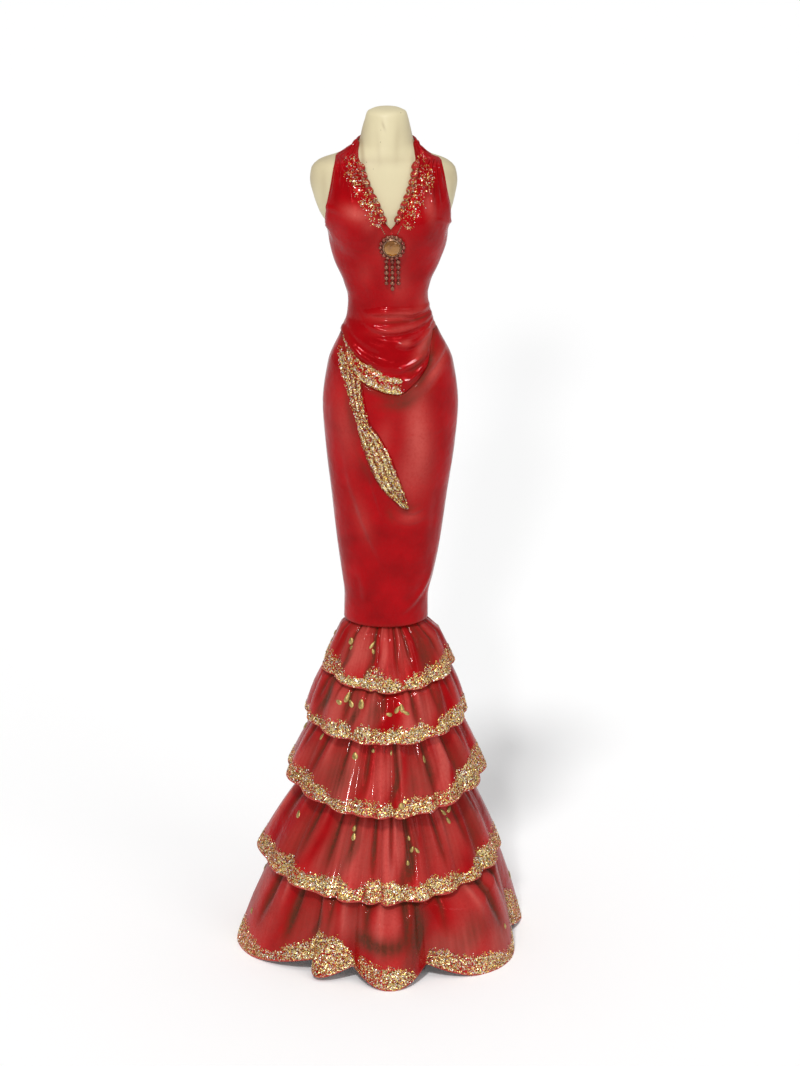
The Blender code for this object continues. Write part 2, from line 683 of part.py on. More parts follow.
def brooch(metal, glass):
    """A round plate on the bodice's centre front, and the faceted stone set in it."""
    phi = angle_at(FORM, BROOCH_X, BROOCH_Z)
    centre = bodice_face(phi, BROOCH_Z)
    outward = unit(bodice_face(phi, BROOCH_Z, WALL) - centre)
    right = unit(np.cross(outward, (0, 0, -1)))
    up = np.cross(outward, right)

    def circle(middle, radius, sides):
        turns = [2 * math.pi * k / sides for k in range(sides)]
        return [middle + radius * (math.cos(t) * right + math.sin(t) * up) for t in turns]

    lift = 0.0
    for near in circle(centre, BROOCH_RADIUS, STAND_SIDES):
        beside = bodice_face(angle_at(FORM, near[0], near[2]), near[2])
        lift = max(lift, float(np.dot(beside - centre, outward)))

    def turned(name, profile, sides, finish):
        seat = centre + outward * (lift + GAP)
        loft(name, [circle(seat + outward * out, radius, sides) for radius, out in profile], finish)

    plate = (
        (BROOCH_RADIUS - BROOCH_EDGE, 0.0),
        (BROOCH_RADIUS, BROOCH_EDGE),
        (BROOCH_RADIUS, BROOCH_PLATE - BROOCH_EDGE),
        (BROOCH_RADIUS - BROOCH_EDGE, BROOCH_PLATE),
    )
    base = BROOCH_PLATE + GAP
    stone = (
        (STONE_RADIUS, base),
        (STONE_RADIUS, base + STONE_GIRDLE),
        (STONE_TABLE, base + STONE_RISE),
    )
    turned("brooch_plate", plate, 20, metal)
    turned("brooch_stone", stone, 12, glass)


def build():
    for old in list(bpy.data.objects):
        bpy.data.objects.remove(old)
    cream = material("form_cream", CREAM, 0.55)
    red = material("gown_red", RED, 0.28, coat=0.6)
    gold = material("glitter_gold", GOLD, 0.45, metallic=0.7)
    form_torso(cream)
    form_stand(cream)
    bodice_front(red)
    bodice_back(red)
    halter_back(red)
    columns = 16
    front_angles = [lerp(-math.pi / 2, math.pi / 2, k / columns) for k in range(columns + 1)]
    sheath_panel("sheath_front", front_angles, red)
    sheath_panel("sheath_back", back_angles(columns, SEAM_TURN), red)
    sash(gold)
    above = SheathHem()
    for number in range(len(RUFFLES)):
        above = Ruffle(number, above)
        ruffle_solid(f"ruffle_{number + 1}", above, red)
    neck_trim("neck_trim_left", -1, "neck_left", red)
    neck_trim("neck_trim_right", 1, "neck_right", red)
    brooch(material("brooch_metal", DARK_METAL, 0.35, metallic=0.8), material("amber", AMBER, 0.1))


build()
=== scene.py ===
"""The finish of a doll-size flamenco gown on its dress form: cloth shells, creases, glitter, beads and paint.

Sizes are in millimetres and written in metres. Front is -Y, +Z is up, and phi is the angle round the
body from the front centre, positive towards +X.
"""

import json
import math

import bpy
import numpy as np
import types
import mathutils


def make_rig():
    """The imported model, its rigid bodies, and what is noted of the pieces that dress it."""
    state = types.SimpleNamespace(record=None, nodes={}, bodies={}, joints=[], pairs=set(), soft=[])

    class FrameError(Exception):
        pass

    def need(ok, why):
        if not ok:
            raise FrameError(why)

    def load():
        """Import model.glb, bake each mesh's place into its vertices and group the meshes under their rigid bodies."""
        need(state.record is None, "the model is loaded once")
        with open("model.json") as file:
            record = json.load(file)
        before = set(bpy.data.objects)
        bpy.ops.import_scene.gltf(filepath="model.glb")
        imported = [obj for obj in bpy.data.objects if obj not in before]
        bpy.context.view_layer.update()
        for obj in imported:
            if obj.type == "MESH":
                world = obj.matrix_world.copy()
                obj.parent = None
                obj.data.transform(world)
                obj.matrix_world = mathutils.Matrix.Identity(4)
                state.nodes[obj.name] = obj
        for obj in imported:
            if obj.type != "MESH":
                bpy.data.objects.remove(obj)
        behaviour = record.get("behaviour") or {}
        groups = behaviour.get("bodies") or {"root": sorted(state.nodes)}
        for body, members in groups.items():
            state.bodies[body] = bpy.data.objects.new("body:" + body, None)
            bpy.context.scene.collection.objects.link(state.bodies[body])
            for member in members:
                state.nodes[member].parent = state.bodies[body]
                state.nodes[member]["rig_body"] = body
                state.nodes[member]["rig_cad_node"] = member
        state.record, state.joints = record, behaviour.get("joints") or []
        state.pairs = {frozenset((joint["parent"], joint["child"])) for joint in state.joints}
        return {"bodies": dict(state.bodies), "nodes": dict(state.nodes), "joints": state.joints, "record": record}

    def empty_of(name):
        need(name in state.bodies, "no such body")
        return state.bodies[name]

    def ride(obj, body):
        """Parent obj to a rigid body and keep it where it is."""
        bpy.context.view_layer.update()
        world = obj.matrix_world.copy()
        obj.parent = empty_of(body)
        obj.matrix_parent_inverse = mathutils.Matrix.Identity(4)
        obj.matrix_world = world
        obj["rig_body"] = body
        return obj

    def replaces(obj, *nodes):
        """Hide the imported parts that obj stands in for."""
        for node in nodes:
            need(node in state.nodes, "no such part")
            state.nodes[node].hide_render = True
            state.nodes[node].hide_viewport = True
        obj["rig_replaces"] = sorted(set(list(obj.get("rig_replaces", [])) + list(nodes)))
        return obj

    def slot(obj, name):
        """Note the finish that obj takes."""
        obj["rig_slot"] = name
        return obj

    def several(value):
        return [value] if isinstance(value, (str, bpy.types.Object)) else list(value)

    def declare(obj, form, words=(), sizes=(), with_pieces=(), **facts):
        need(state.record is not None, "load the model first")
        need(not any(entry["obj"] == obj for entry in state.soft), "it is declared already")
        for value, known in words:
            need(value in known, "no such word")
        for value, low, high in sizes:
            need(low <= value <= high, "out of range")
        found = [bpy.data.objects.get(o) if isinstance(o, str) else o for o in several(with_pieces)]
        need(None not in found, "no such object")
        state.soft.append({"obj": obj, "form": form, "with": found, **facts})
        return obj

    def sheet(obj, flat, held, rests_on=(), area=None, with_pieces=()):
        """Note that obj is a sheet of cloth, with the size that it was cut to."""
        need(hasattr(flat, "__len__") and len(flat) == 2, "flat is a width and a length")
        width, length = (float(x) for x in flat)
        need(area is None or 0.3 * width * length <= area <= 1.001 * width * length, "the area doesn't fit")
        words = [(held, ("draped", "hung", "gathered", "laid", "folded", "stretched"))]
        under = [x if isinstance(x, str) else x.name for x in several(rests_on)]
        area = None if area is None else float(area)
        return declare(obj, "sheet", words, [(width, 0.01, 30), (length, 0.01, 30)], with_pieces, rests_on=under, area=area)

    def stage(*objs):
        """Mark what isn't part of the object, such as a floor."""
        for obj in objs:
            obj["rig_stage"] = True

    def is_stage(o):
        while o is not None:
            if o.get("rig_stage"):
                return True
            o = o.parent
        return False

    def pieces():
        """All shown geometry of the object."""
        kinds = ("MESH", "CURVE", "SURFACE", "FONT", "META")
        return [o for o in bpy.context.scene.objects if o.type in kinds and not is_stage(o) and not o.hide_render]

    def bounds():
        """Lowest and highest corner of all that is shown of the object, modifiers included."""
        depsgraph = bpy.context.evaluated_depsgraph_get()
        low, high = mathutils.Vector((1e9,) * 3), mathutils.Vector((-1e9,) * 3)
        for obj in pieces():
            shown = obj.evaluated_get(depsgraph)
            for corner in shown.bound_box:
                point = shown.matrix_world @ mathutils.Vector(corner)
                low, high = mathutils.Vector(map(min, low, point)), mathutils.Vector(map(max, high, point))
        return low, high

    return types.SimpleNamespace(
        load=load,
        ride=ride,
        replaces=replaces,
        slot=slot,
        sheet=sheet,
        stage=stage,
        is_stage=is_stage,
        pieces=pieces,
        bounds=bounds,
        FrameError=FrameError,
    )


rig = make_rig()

class Table:
    """Rows of numbers under named columns; the first column is the one that the others go by."""

    def __init__(self, names, *rows):
        self.names = names.split()
        self.rows = rows

    def __iter__(self):
        return (dict(zip(self.names, row)) for row in self.rows)

    def column(self, name):
        return np.array([row[self.names.index(name)] for row in self.rows], float)

    def at(self, name, where):
        """A column at values of the first one, on a smooth curve with no overshoot."""
        xs, ys = self.column(self.names[0]), self.column(name)
        if xs[0] > xs[-1]:
            xs, ys = xs[::-1], ys[::-1]
        x = np.clip(where, xs[0], xs[-1])
        steps = np.diff(xs)
        slopes = np.diff(ys) / steps
        tangents = np.concatenate([[slopes[0]], np.zeros(len(xs) - 2), [slopes[-1]]])
        before, after = slopes[:-1], slopes[1:]
        same = before * after > 0
        tangents[1:-1][same] = 2 * before[same] * after[same] / (before[same] + after[same])
        i = np.clip(np.searchsorted(xs, x, side="right") - 1, 0, len(xs) - 2)
        t = (x - xs[i]) / steps[i]
        return (
            ys[i] * (1 + 2 * t) * (1 - t) ** 2
            + tangents[i] * steps[i] * t * (1 - t) ** 2
            + ys[i + 1] * t * t * (3 - 2 * t)
            + tangents[i + 1] * steps[i] * t * t * (t - 1)
        )


MM = 0.001
GAP = 0.4
WALL = 1.0
RUFFLE_REACH = 1.6
ON_FORM = GAP + WALL + 0.1
SEED = 11

# Heights
SHEATH_HEM_Z = 128.0
WAIST_LOW_Z, WAIST_HIGH_Z = 246.0, 258.0
HALF_JOIN_Z = 247.0
V_BOTTOM_Z = 277.6
ARMHOLE_Z = 276.0
LOW_BACK_Z = 262.0
SHOULDER_SEAM_Z = 302.4
HALTER_LOW_Z, HALTER_ARCH = 301.0, 1.4
COLLAR_Z = 307.4
STRAP_TOP = math.radians(74)

# The dress form and the sheath's outer face by height: half width, centre x, depth in front of and behind
# the axis, and the section's exponent
SECTION = "z half centre front back power"
FORM = Table(
    SECTION,
    (318.8, 5, -0.3, 4.6, 5.2, 2), (317.8, 6.9, -0.3, 6.4, 7, 2), (315.4, 7.7, -0.3, 7.2, 8, 2),
    (312, 8.6, -0.4, 8, 8.8, 2), (307.5, 9.7, -0.4, 8.8, 9.6, 2), (304.5, 12.6, -0.8, 9.4, 10.2, 2.1),
    (302, 17.6, -1.4, 9.8, 10.8, 2.2), (300, 23.2, -1.6, 10.2, 11.2, 2.3),
    (297.5, 25.6, -1.5, 10.6, 11.6, 2.3), (293.5, 26.2, -1.4, 11, 12, 2.3),
    (288, 25.2, -1.2, 11.6, 12.2, 2.3), (282, 23.4, -0.9, 12.2, 12, 2.2),
    (276, 20.7, -0.1, 12.4, 11.4, 2.1), (270, 19.4, 0.1, 11.9, 10.8, 2.1),
    (264, 17.4, -0.2, 11.2, 10.2, 2.1), (257, 14.4, -0.2, 10.2, 9.2, 2.1), (250, 12.6, 0, 9.3, 8.5, 2.1),
    (244, 12, 0.5, 8.5, 8.1, 2.1), (237, 14.6, 0.8, 9.8, 10.4, 2.1), (226, 19.2, 1, 11.9, 13.6, 2.2),
    (210, 21.8, 0.9, 13.2, 15.9, 2.2), (196, 20.6, 0.8, 13, 15.4, 2.2),
)
SHEATH = Table(
    SECTION,
    (258, 15.8, -0.1, 11.6, 10.6, 2.1), (252, 14, 0.1, 10.8, 10, 2.1), (244, 14.9, 0.5, 11.4, 11.2, 2.1),
    (237, 17.8, 0.8, 12.9, 13.5, 2.1), (226, 22.6, 1, 14.8, 16.6, 2.2), (210, 24.6, 0.9, 15.8, 18.6, 2.2),
    (195, 23.5, 0.8, 15.8, 18.2, 2.2), (177, 21.2, 0.5, 15.2, 16.2, 2.2), (158, 18.9, 0.2, 14.2, 14.6, 2.1),
    (145, 16.9, -0.1, 13.4, 13.4, 2.1), (136, 15.4, -0.7, 12.8, 12.8, 2), (128, 15.5, -0.8, 12.9, 12.9, 2),
)
FORM_LOW_Z, SHOULDERS_Z, NECK_TOP_Z = 196.0, 300.0, 318.8
FORM_SIDES, BODY_ROWS, NECK_ROWS = 144, 90, 46
CUP_X, CUP_Z = 12.4, 278.5
CUP_RISE, CUP_SPREAD_X, CUP_SPREAD_Z = 3.8, 5.8, 7.2

# The neckline's and the armholes' edges by height: x of each on the left and on the right
EDGES = Table(
    "z neck_left neck_right arm_left arm_right",
    (276, 1.2, 1.2, -22.6, 22.6), (277.6, 1.2, 1.2, -21.5, 21.3), (280, -0.6, 2.8, -21.5, 21.6),
    (285.4, -3.2, 5.2, -21.2, 21.7), (288, -4.3, 6.3, -20.8, 21.4), (293.2, -6.8, 8.2, -20, 20.7),
    (298, -8.6, 9.4, -19.3, 19.8), (302.4, -9.8, 9.9, -18.3, 18.6),
)
# The bodice's draped lower edge by x, and the level that it keeps behind
DRAPE = Table(
    "x z",
    (-21, 238), (-18, 233.5), (-12.8, 226), (-5.6, 220.6), (2, 218.2), (8, 222.2), (12, 226.8), (17, 234.6),
    (21, 239.5),
)
DRAPE_SIDE_Z = 238.0
DRAPE_TUCK, TUCK_RUN, TUCK_DEPTH, DRAPE_RISE = 6.0, 0.9, 1.15, 0.3
TUCK_ROWS, DROP_ROWS = 14, 150
MERGE_X, MERGE_LEFT_X, MERGE_RUN = 4.5, -15.5, 3.2

# How far the bodice is drawn in at its neckline and armholes, at the shoulder seams, behind and under the
# arms, and how much of a crease is lost at a shoulder seam; and where its inner face lies deeper
EDGE_DROP, SHOULDER_DROP, BACK_DROP, UNDERARM_DROP = 0.55, 1.15, 0.3, 0.5
EDGE_REACH, SHOULDER_REACH, SHOULDER_FLAT = 0.9, 2.6, 0.8
LINING, LINED_Z = 0.3, 262.0

# Creases: each is a curve from a start past a middle to an end, with its width and height;
# a trough lies below each ridge, and a negative height makes a groove
CREASE = "start_x start_z middle_x middle_z end_x end_z width height"
RIDGE_STEPS = 14
TROUGH_SHARE, TROUGH_AWAY = 0.5, 1.6
BODICE_CREASES = Table(
    CREASE,
    (-7, 246.4, 0, 248.2, 9.5, 246.4, 1, 1.15), (6, 246.6, 10, 246.6, 15, 247.6, 0.9, 0.6),
    (-7, 242.6, 1.4, 237.8, 15.6, 244.2, 1.05, 1.2), (3.5, 236.4, 7, 235.2, 10.5, 236, 1.2, 0.6),
    (16.2, 241.2, 11, 235.6, 5.2, 234.6, 1, 0.5), (-17.4, 240.6, -9.4, 227.4, 4.4, 227.4, 1.5, 1.15),
    (3.4, 227.4, 8.6, 226.6, 18.8, 236.6, 1.2, 1), (5, 222.2, 12, 223.6, 18, 234, 1, 0.7),
    (12, 240, 14.4, 240.6, 16.4, 243.2, 0.7, 0.5), (-14.5, 243, -10, 236, -2, 234, 1.6, 0.3),
    (-14, 262, -12.5, 254, -13.2, 247, 2, 0.25), (13.6, 263, 11.8, 255, 12.4, 249, 2, 0.3),
    (-7.5, 259, -4, 254.5, -5, 250, 1.8, 0.25), (-16.6, 284, -12, 270, -5, 268, 2.4, 0.25),
    (17, 284, 13, 270, 8, 266, 2.4, 0.25), (10.8, 281.6, 13.6, 281.2, 16.6, 277.8, 0.6, 0.35),
    (-17, 285, -12.4, 286.6, -7.4, 283.4, 1, 0.3),
)
BACK_BODICE_CREASES = Table(
    CREASE,
    (-14.5, 250, -2, 246, 10, 249.5, 1.3, 0.55), (-10, 244.5, 3, 241, 15, 246, 1.3, 0.6),
    (-17, 242, -6, 238.6, 4, 240.6, 1.1, 0.35), (-11, 262, -10, 257, -12, 252, 1.8, 0.3),
    (11, 263, 10.5, 257.5, 12, 252.5, 1.8, 0.3),
)
SHEATH_CREASES = Table(
    CREASE,
    (-13.4, 187, -8.6, 166, -0.6, 152, 1.5, 0.7), (-7, 191, -4, 178, -0.6, 168, 0.9, 0.55),
    (1.4, 177.6, 7, 169.8, 13.2, 174.6, 0.75, 0.55), (0.6, 173.6, 6, 166, 13, 170.4, 0.8, 0.4),
    (16.4, 153, 15, 139, 4.4, 133, 1.1, 0.6), (20.4, 233, 16, 227.6, 11.4, 223.4, 1.1, 0.7),
    (18.6, 226.6, 14.6, 222, 10, 217.4, 1.4, 0.4), (12, 222, 15, 204, 12.5, 186, 3, 0.55),
    (7.6, 214, 6.6, 200, 8.6, 184, 2.4, 0.3), (-17.6, 226, -20.5, 210, -17, 192, 2.6, 0.3),
    (-16, 205, -12.6, 190, -13.6, 174, 1.8, 0.3), (15.5, 184, 13, 170, 14.4, 158, 1.8, 0.3),
    (-10.5, 150, -7, 141, -8.5, 132, 1.4, 0.3),
)
BACK_SHEATH_CREASES = Table(
    CREASE,
    (-14, 190, -6, 172, 5, 158, 1.8, 0.6), (13, 172, 11, 152, 2, 138, 1.6, 0.55),
    (-3, 226, -1, 208, -3, 190, 2.6, -0.45), (-16, 226, -9, 222, 2, 228, 1.4, 0.4),
    (4, 182, 9, 176, 15, 180, 1, 0.4), (-12, 158, -11, 146, -6, 136, 1.4, 0.4),
)
# The straps' gathers: how far across from the neckline, where each ends below, its width and height
GATHER = "share low_z width height"
GATHER_RUN, GATHER_END_Z, GATHER_SUNK = 9.0, 308.5, 0.35
GATHERS = {
    "left": Table(
        GATHER,
        (0.18, 292, 0.05, 0.45), (0.42, 285, 0.055, 0.6), (0.66, 289, 0.05, 0.55), (0.87, 286, 0.045, 0.6),
    ),
    "right": Table(
        GATHER,
        (0.16, 293, 0.045, 0.5), (0.33, 286, 0.045, 0.65), (0.5, 281.5, 0.045, 0.75), (0.66, 284, 0.04, 0.7),
    (0.82, 289, 0.04, 0.5),
    ),
}

SASH = Table(
    "z left right",
    (222, -17.4, -9.4), (214, -13.6, -8), (207, -11.2, -6.4), (203, -10.4, -3.4), (194, -7.8, 1.3),
    (184, -3.3, 4.8), (178.5, 1.2, 6.7), (175, 5.2, 7.4),
)
SASH_TOP_Z, SASH_TIP_Z, SASH_FREE_Z = 222.0, 175.0, 213.0
SASH_FOLDS, SASH_FOLD_RISE, SASH_COLUMNS, SASH_ROWS = 4, 0.7, 46, 120

# The ruffles from the top; the last columns are the folds' roundness at the hem, how many folds and gathers
# lie behind, how deep a gather of 1 is, and how finely the cloth is made
RUFFLES = Table(
    "top hem dip half centre front back flare bulge depth lift roundness behind hidden gather sides rows",
    (132.5, 109.6, 3.8, 25.3, 0.1, 0.93, 0.95, 0.5, 0.4, 1.7, 0.3, 1.1, 7, 9, 1.5, 300, 30),
    (119, 90, 2.8, 30.8, -0.8, 0.93, 0.96, 0.48, 2, 1.7, 0.3, 1.1, 8, 10, 1.6, 330, 32),
    (99, 67.6, 7, 38, -1.2, 0.93, 0.97, 0.52, 0.7, 1.9, 0.4, 1.15, 8, 12, 1.6, 380, 36),
    (77, 35.2, 5.6, 46.4, -3.2, 0.93, 0.98, 0.6, 1.8, 2.2, 0.5, 1.15, 10, 14, 1.7, 440, 42),
    (45, 0.2, 0, 54.6, -2.8, 0.99, 1, 0.38, 1.2, 9, 5, 1.05, 3, 11, 1.7, 460, 46),
)
# The folds across each ruffle's front, as (valley, level, crest, lean): where a valley lies, in degrees,
# how far out it and the crest to its right come, as shares of the depth, and how far across the crest lies
FOLDS = (
    (
        (-61, 0, 0.9, 0.5), (-25, 0.2, 0.5, 0.6), (-12, 0, 1, 0.4), (18, 0.1, 0.7, 0.5), (45, 0, 1, 0.5),
    ),
    (
        (-60, 0, 1, 0.5), (-31, 0, 0.9, 0.6), (-9, 0.3, 0.6, 0.4), (5, 0, 1, 0.45), (33, 0.2, 0.8, 0.6),
        (56, 0, 1, 0.5),
    ),
    (
        (-64, 0, 0.8, 0.5), (-41, 0, 0.9, 0.6), (-22, 0.2, 0.6, 0.5), (-10, 0.3, 0.7, 0.4),
        (3, 0, 0.9, 0.35), (18, 0.2, 0.8, 0.6), (34, 0, 0.9, 0.4), (55, 0.1, 1.1, 0.5),
    ),
    (
        (-56, 0, 0.8, 0.4), (-38, 0.3, 0.6, 0.6), (-27, 0, 0.8, 0.4), (-14, 0.2, 0.7, 0.5), (-4, 0, 1, 0.3),
        (8, 0.2, 0.9, 0.6), (25, 0.1, 0.8, 0.5), (42, 0, 0.8, 0.6), (60, 0.1, 1, 0.5),
    ),
    (
        (-104, 0.3, 1.1, 0.42), (-36, 0, 0.7, 0.3), (-16.7, 0, 1, 0.5), (19, 0, 1.2, 0.5),
        (84, 0.4, 1.05, 0.5), (128, 0.2, 0.9, 0.5),
    ),
)
ROUNDNESS_HIGH = 0.75
GATHERED = 0.25
DIP_ROUNDNESS = 1.5
RELEASE = 1.1
TOP_BLEND = 8.0
SHEATH_SLACK = 0.2

# Gathers that start under the hem above: angle in degrees, how far down each runs as a share, its width
# in degrees, its depth (negative for a pinched ridge) and how far it drifts sideways on its way down
RUFFLE_CREASES = (
    (
        (-72, 0.7, 3, 0.5, 3), (-47, 0.9, 3.2, 0.6, -4), (-33, 0.5, 2.2, -0.35, -2),
        (-19, 0.85, 2.6, 0.7, 2), (-9, 0.6, 2, -0.45, -1), (1, 0.5, 2, 0.4, 1), (9, 0.95, 2.6, 0.6, 3),
        (15, 0.6, 1.8, -0.4, 2), (23, 0.9, 2.6, 0.6, 6), (36, 0.7, 2.4, 0.5, 5), (58, 0.8, 3, 0.6, 4),
    ),
    (
        (-68, 0.8, 3, 0.6, -3), (-48, 0.6, 2, 0.4, -3), (-36, 0.9, 2.6, 0.6, -2), (-20, 0.6, 2, 0.45, -2),
        (-13, 0.8, 2, -0.45, -1), (-4, 0.7, 2.2, 0.5, 1), (14, 0.5, 1.8, 0.35, 2), (22, 0.9, 2.6, 0.65, 4),
        (28, 0.6, 1.8, -0.4, 3), (43, 0.8, 2.4, 0.5, 4), (63, 0.7, 2.6, 0.5, 3),
    ),
    (
        (-73, 0.7, 2.4, 0.6, -4), (-54, 0.9, 2.4, 0.65, -5), (-47, 0.7, 1.6, -0.45, -4),
        (-33, 0.8, 2.2, 0.6, -3), (-25, 0.6, 1.6, -0.5, -2), (-15, 0.95, 2, 0.6, -2),
        (-2, 0.5, 1.6, 0.4, 0), (5.5, 1, 1.7, 0.8, 1.5), (9, 0.85, 1.4, -0.5, 1.5), (24, 0.6, 1.8, 0.4, 3),
        (30, 0.9, 2.2, 0.6, 3), (44, 0.7, 1.8, -0.5, 6), (50, 0.8, 2.2, 0.6, 5), (68, 0.6, 2.2, 0.5, 3),
    ),
    (
        (-76, 0.7, 2.2, 0.6, -4), (-64, 0.5, 1.6, -0.4, -4), (-50, 0.8, 2, 0.6, -4),
        (-44, 0.5, 1.4, -0.4, -3), (-33, 0.9, 2, 0.65, -3), (-22, 0.7, 1.8, 0.5, -2),
        (-17, 0.5, 1.4, -0.4, -1), (-8, 0.95, 1.8, 0.7, -1), (2, 0.8, 1.5, 0.55, 0), (5, 0.7, 1.2, -0.5, 1),
        (12, 1, 1.8, 0.7, 2), (19, 0.5, 1.4, 0.4, 2), (32, 0.9, 2, 0.6, 4), (38, 0.6, 1.6, -0.4, 4),
        (51, 0.8, 2.2, 0.6, 4), (71, 0.6, 2.4, 0.5, 3),
    ),
    (
        (-88, 0.6, 3, 0.8, -3), (-64, 0.8, 2.4, 1, -6), (-56, 0.5, 1.6, -0.5, -4), (-48, 0.9, 2.2, 0.9, -3),
        (-28, 0.5, 1.8, 0.7, 0), (-22, 0.7, 1.6, -0.6, 2), (-10, 0.6, 2.2, 0.7, -1), (-3, 0.8, 2, -0.6, -1),
        (8, 0.7, 2.6, 0.9, 2), (14, 0.9, 2, 0.8, 2), (27, 0.6, 1.8, 0.6, 3), (45, 0.5, 2.2, -0.6, 6),
        (55, 0.8, 2.8, 1, 6), (68, 0.6, 2.4, 0.8, 5), (100, 0.6, 2.6, 0.8, 4),
    ),
)

# Painted patches on the ruffles: angle, how far down, spread in degrees and as a share of the height,
# how much dry pink and painted highlight, and how much brown wash and painted shade; each has a like one behind
RUFFLE_PAINT = Table(
    "ruffle angle down wide high blush wash",
    (0, -42, 0.45, 20, 0.4, 0.9, 0.2), (0, -47, 0.7, 3, 0.3, 0, 0.7), (0, -20, 0.75, 3, 0.4, 0, 0.6),
    (0, -8, 0.5, 4, 0.5, 0.7, 0), (0, 16, 0.5, 9, 0.5, 0.45, 0), (0, 45, 0.5, 11, 0.4, 0.2, 0.7),
    (0, 64, 0.5, 6, 0.4, 0.3, 0.3), (1, -40, 0.45, 26, 0.4, 0.9, 0.25), (1, -62, 0.4, 4, 0.5, 0, 0.8),
    (1, -30, 0.6, 3, 0.4, 0, 0.6), (1, -14, 0.4, 7, 0.4, 0.3, 0.6), (1, 26, 0.5, 15, 0.4, 1, 0.15),
    (1, 46, 0.4, 4, 0.4, 0, 0.6), (2, -42, 0.55, 15, 0.4, 0.7, 0.5), (2, -28, 0.7, 9, 0.4, 0.6, 0.3),
    (2, -6, 0.5, 9, 0.4, 0.9, 0), (2, 5, 0.4, 2, 0.6, 0, 0.8), (2, 24, 0.6, 13, 0.4, 0.7, 0.5),
    (2, 42, 0.5, 5, 0.5, 0.9, 0), (2, 58, 0.6, 7, 0.4, 0.2, 0.5), (2, -68, 0.6, 7, 0.4, 0.5, 0.2),
    (3, -58, 0.6, 10, 0.4, 0.35, 0.35), (3, -33, 0.5, 9, 0.4, 0.9, 0.3), (3, -18, 0.55, 9, 0.4, 0.9, 0.2),
    (3, -24, 0.35, 3, 0.25, 0, 0.7), (3, 0, 0.5, 10, 0.45, 0.9, 0), (3, 12, 0.6, 4, 0.5, 0, 0.8),
    (3, 22, 0.5, 5, 0.5, 0.3, 0.2), (3, 38, 0.5, 13, 0.4, 0.6, 0.1), (3, 62, 0.5, 7, 0.4, 0.2, 0.6),
    (4, -38, 0.3, 2, 0.3, 0, 1), (4, -62, 0.6, 8, 0.3, 0.15, 0.2), (4, -45, 0.55, 7, 0.4, 0.45, 0.35),
    (4, -33, 0.45, 5, 0.4, 0.5, 0.5), (4, -18, 0.35, 8, 0.25, 0.6, 0.2), (4, -6, 0.5, 12, 0.13, 0, 1.2),
    (4, 2, 0.25, 6, 0.2, 0.4, 0), (4, 12, 0.6, 5, 0.4, 0.3, 0.7), (4, 31, 0.65, 11, 0.22, 0.8, 0.5),
    (4, 42, 0.45, 9, 0.2, 0, 0.5), (4, 58, 0.7, 8, 0.25, 0.6, 0.4), (4, 76, 0.55, 8, 0.4, 0.5, 0.5),
    (4, -84, 0.5, 8, 0.4, 0.2, 0.4),
)

# The glitter at each hem: how far up it reaches, by angle
BANDS = (
    Table(
        "angle high",
        (-180, 5.5), (-80, 8), (-58, 7), (-42, 4.5), (-28, 5), (-20, 8), (-12, 8.6), (4, 5.8), (16, 3.8),
        (24, 6), (44, 6.5), (70, 7.5), (180, 5.5),
    ),
    Table(
        "angle high",
        (-180, 5.5), (-80, 4), (-60, 4.5), (-50, 6), (-34, 6.6), (-30, 3.6), (-22, 7), (-2, 6.2), (14, 6.6),
        (30, 7), (38, 4.4), (46, 7.2), (76, 8), (180, 5.5),
    ),
    Table(
        "angle high",
        (-180, 5.5), (-78, 6), (-62, 7.5), (-46, 6.5), (-38, 4.2), (-30, 6), (-20, 6.6), (-2, 6.8),
        (4, 4.2), (12, 7.5), (30, 6.4), (46, 6.6), (58, 9.5), (78, 11), (180, 5.5),
    ),
    Table(
        "angle high",
        (-180, 6), (-78, 6.6), (-58, 7.8), (-40, 6.6), (-27, 8.8), (-17, 5), (-9, 9.4), (3, 8.4), (10, 6),
        (24, 7.6), (36, 7.4), (47, 4), (56, 8), (74, 9), (180, 6),
    ),
    Table(
        "angle high",
        (-180, 7), (-96, 6), (-80, 10), (-66, 7.5), (-57, 4), (-50, 6.5), (-40, 8.5), (-36, 10), (-33, 17),
        (-24, 15), (-19, 8), (-15, 3.5), (-12, 9), (4, 8.4), (10, 5), (14, 1), (18, 0.8), (21, 7.5),
        (30, 8.8), (46, 8), (58, 5.5), (68, 6.5), (76, 11), (88, 16), (104, 8), (180, 7),
    ),
)

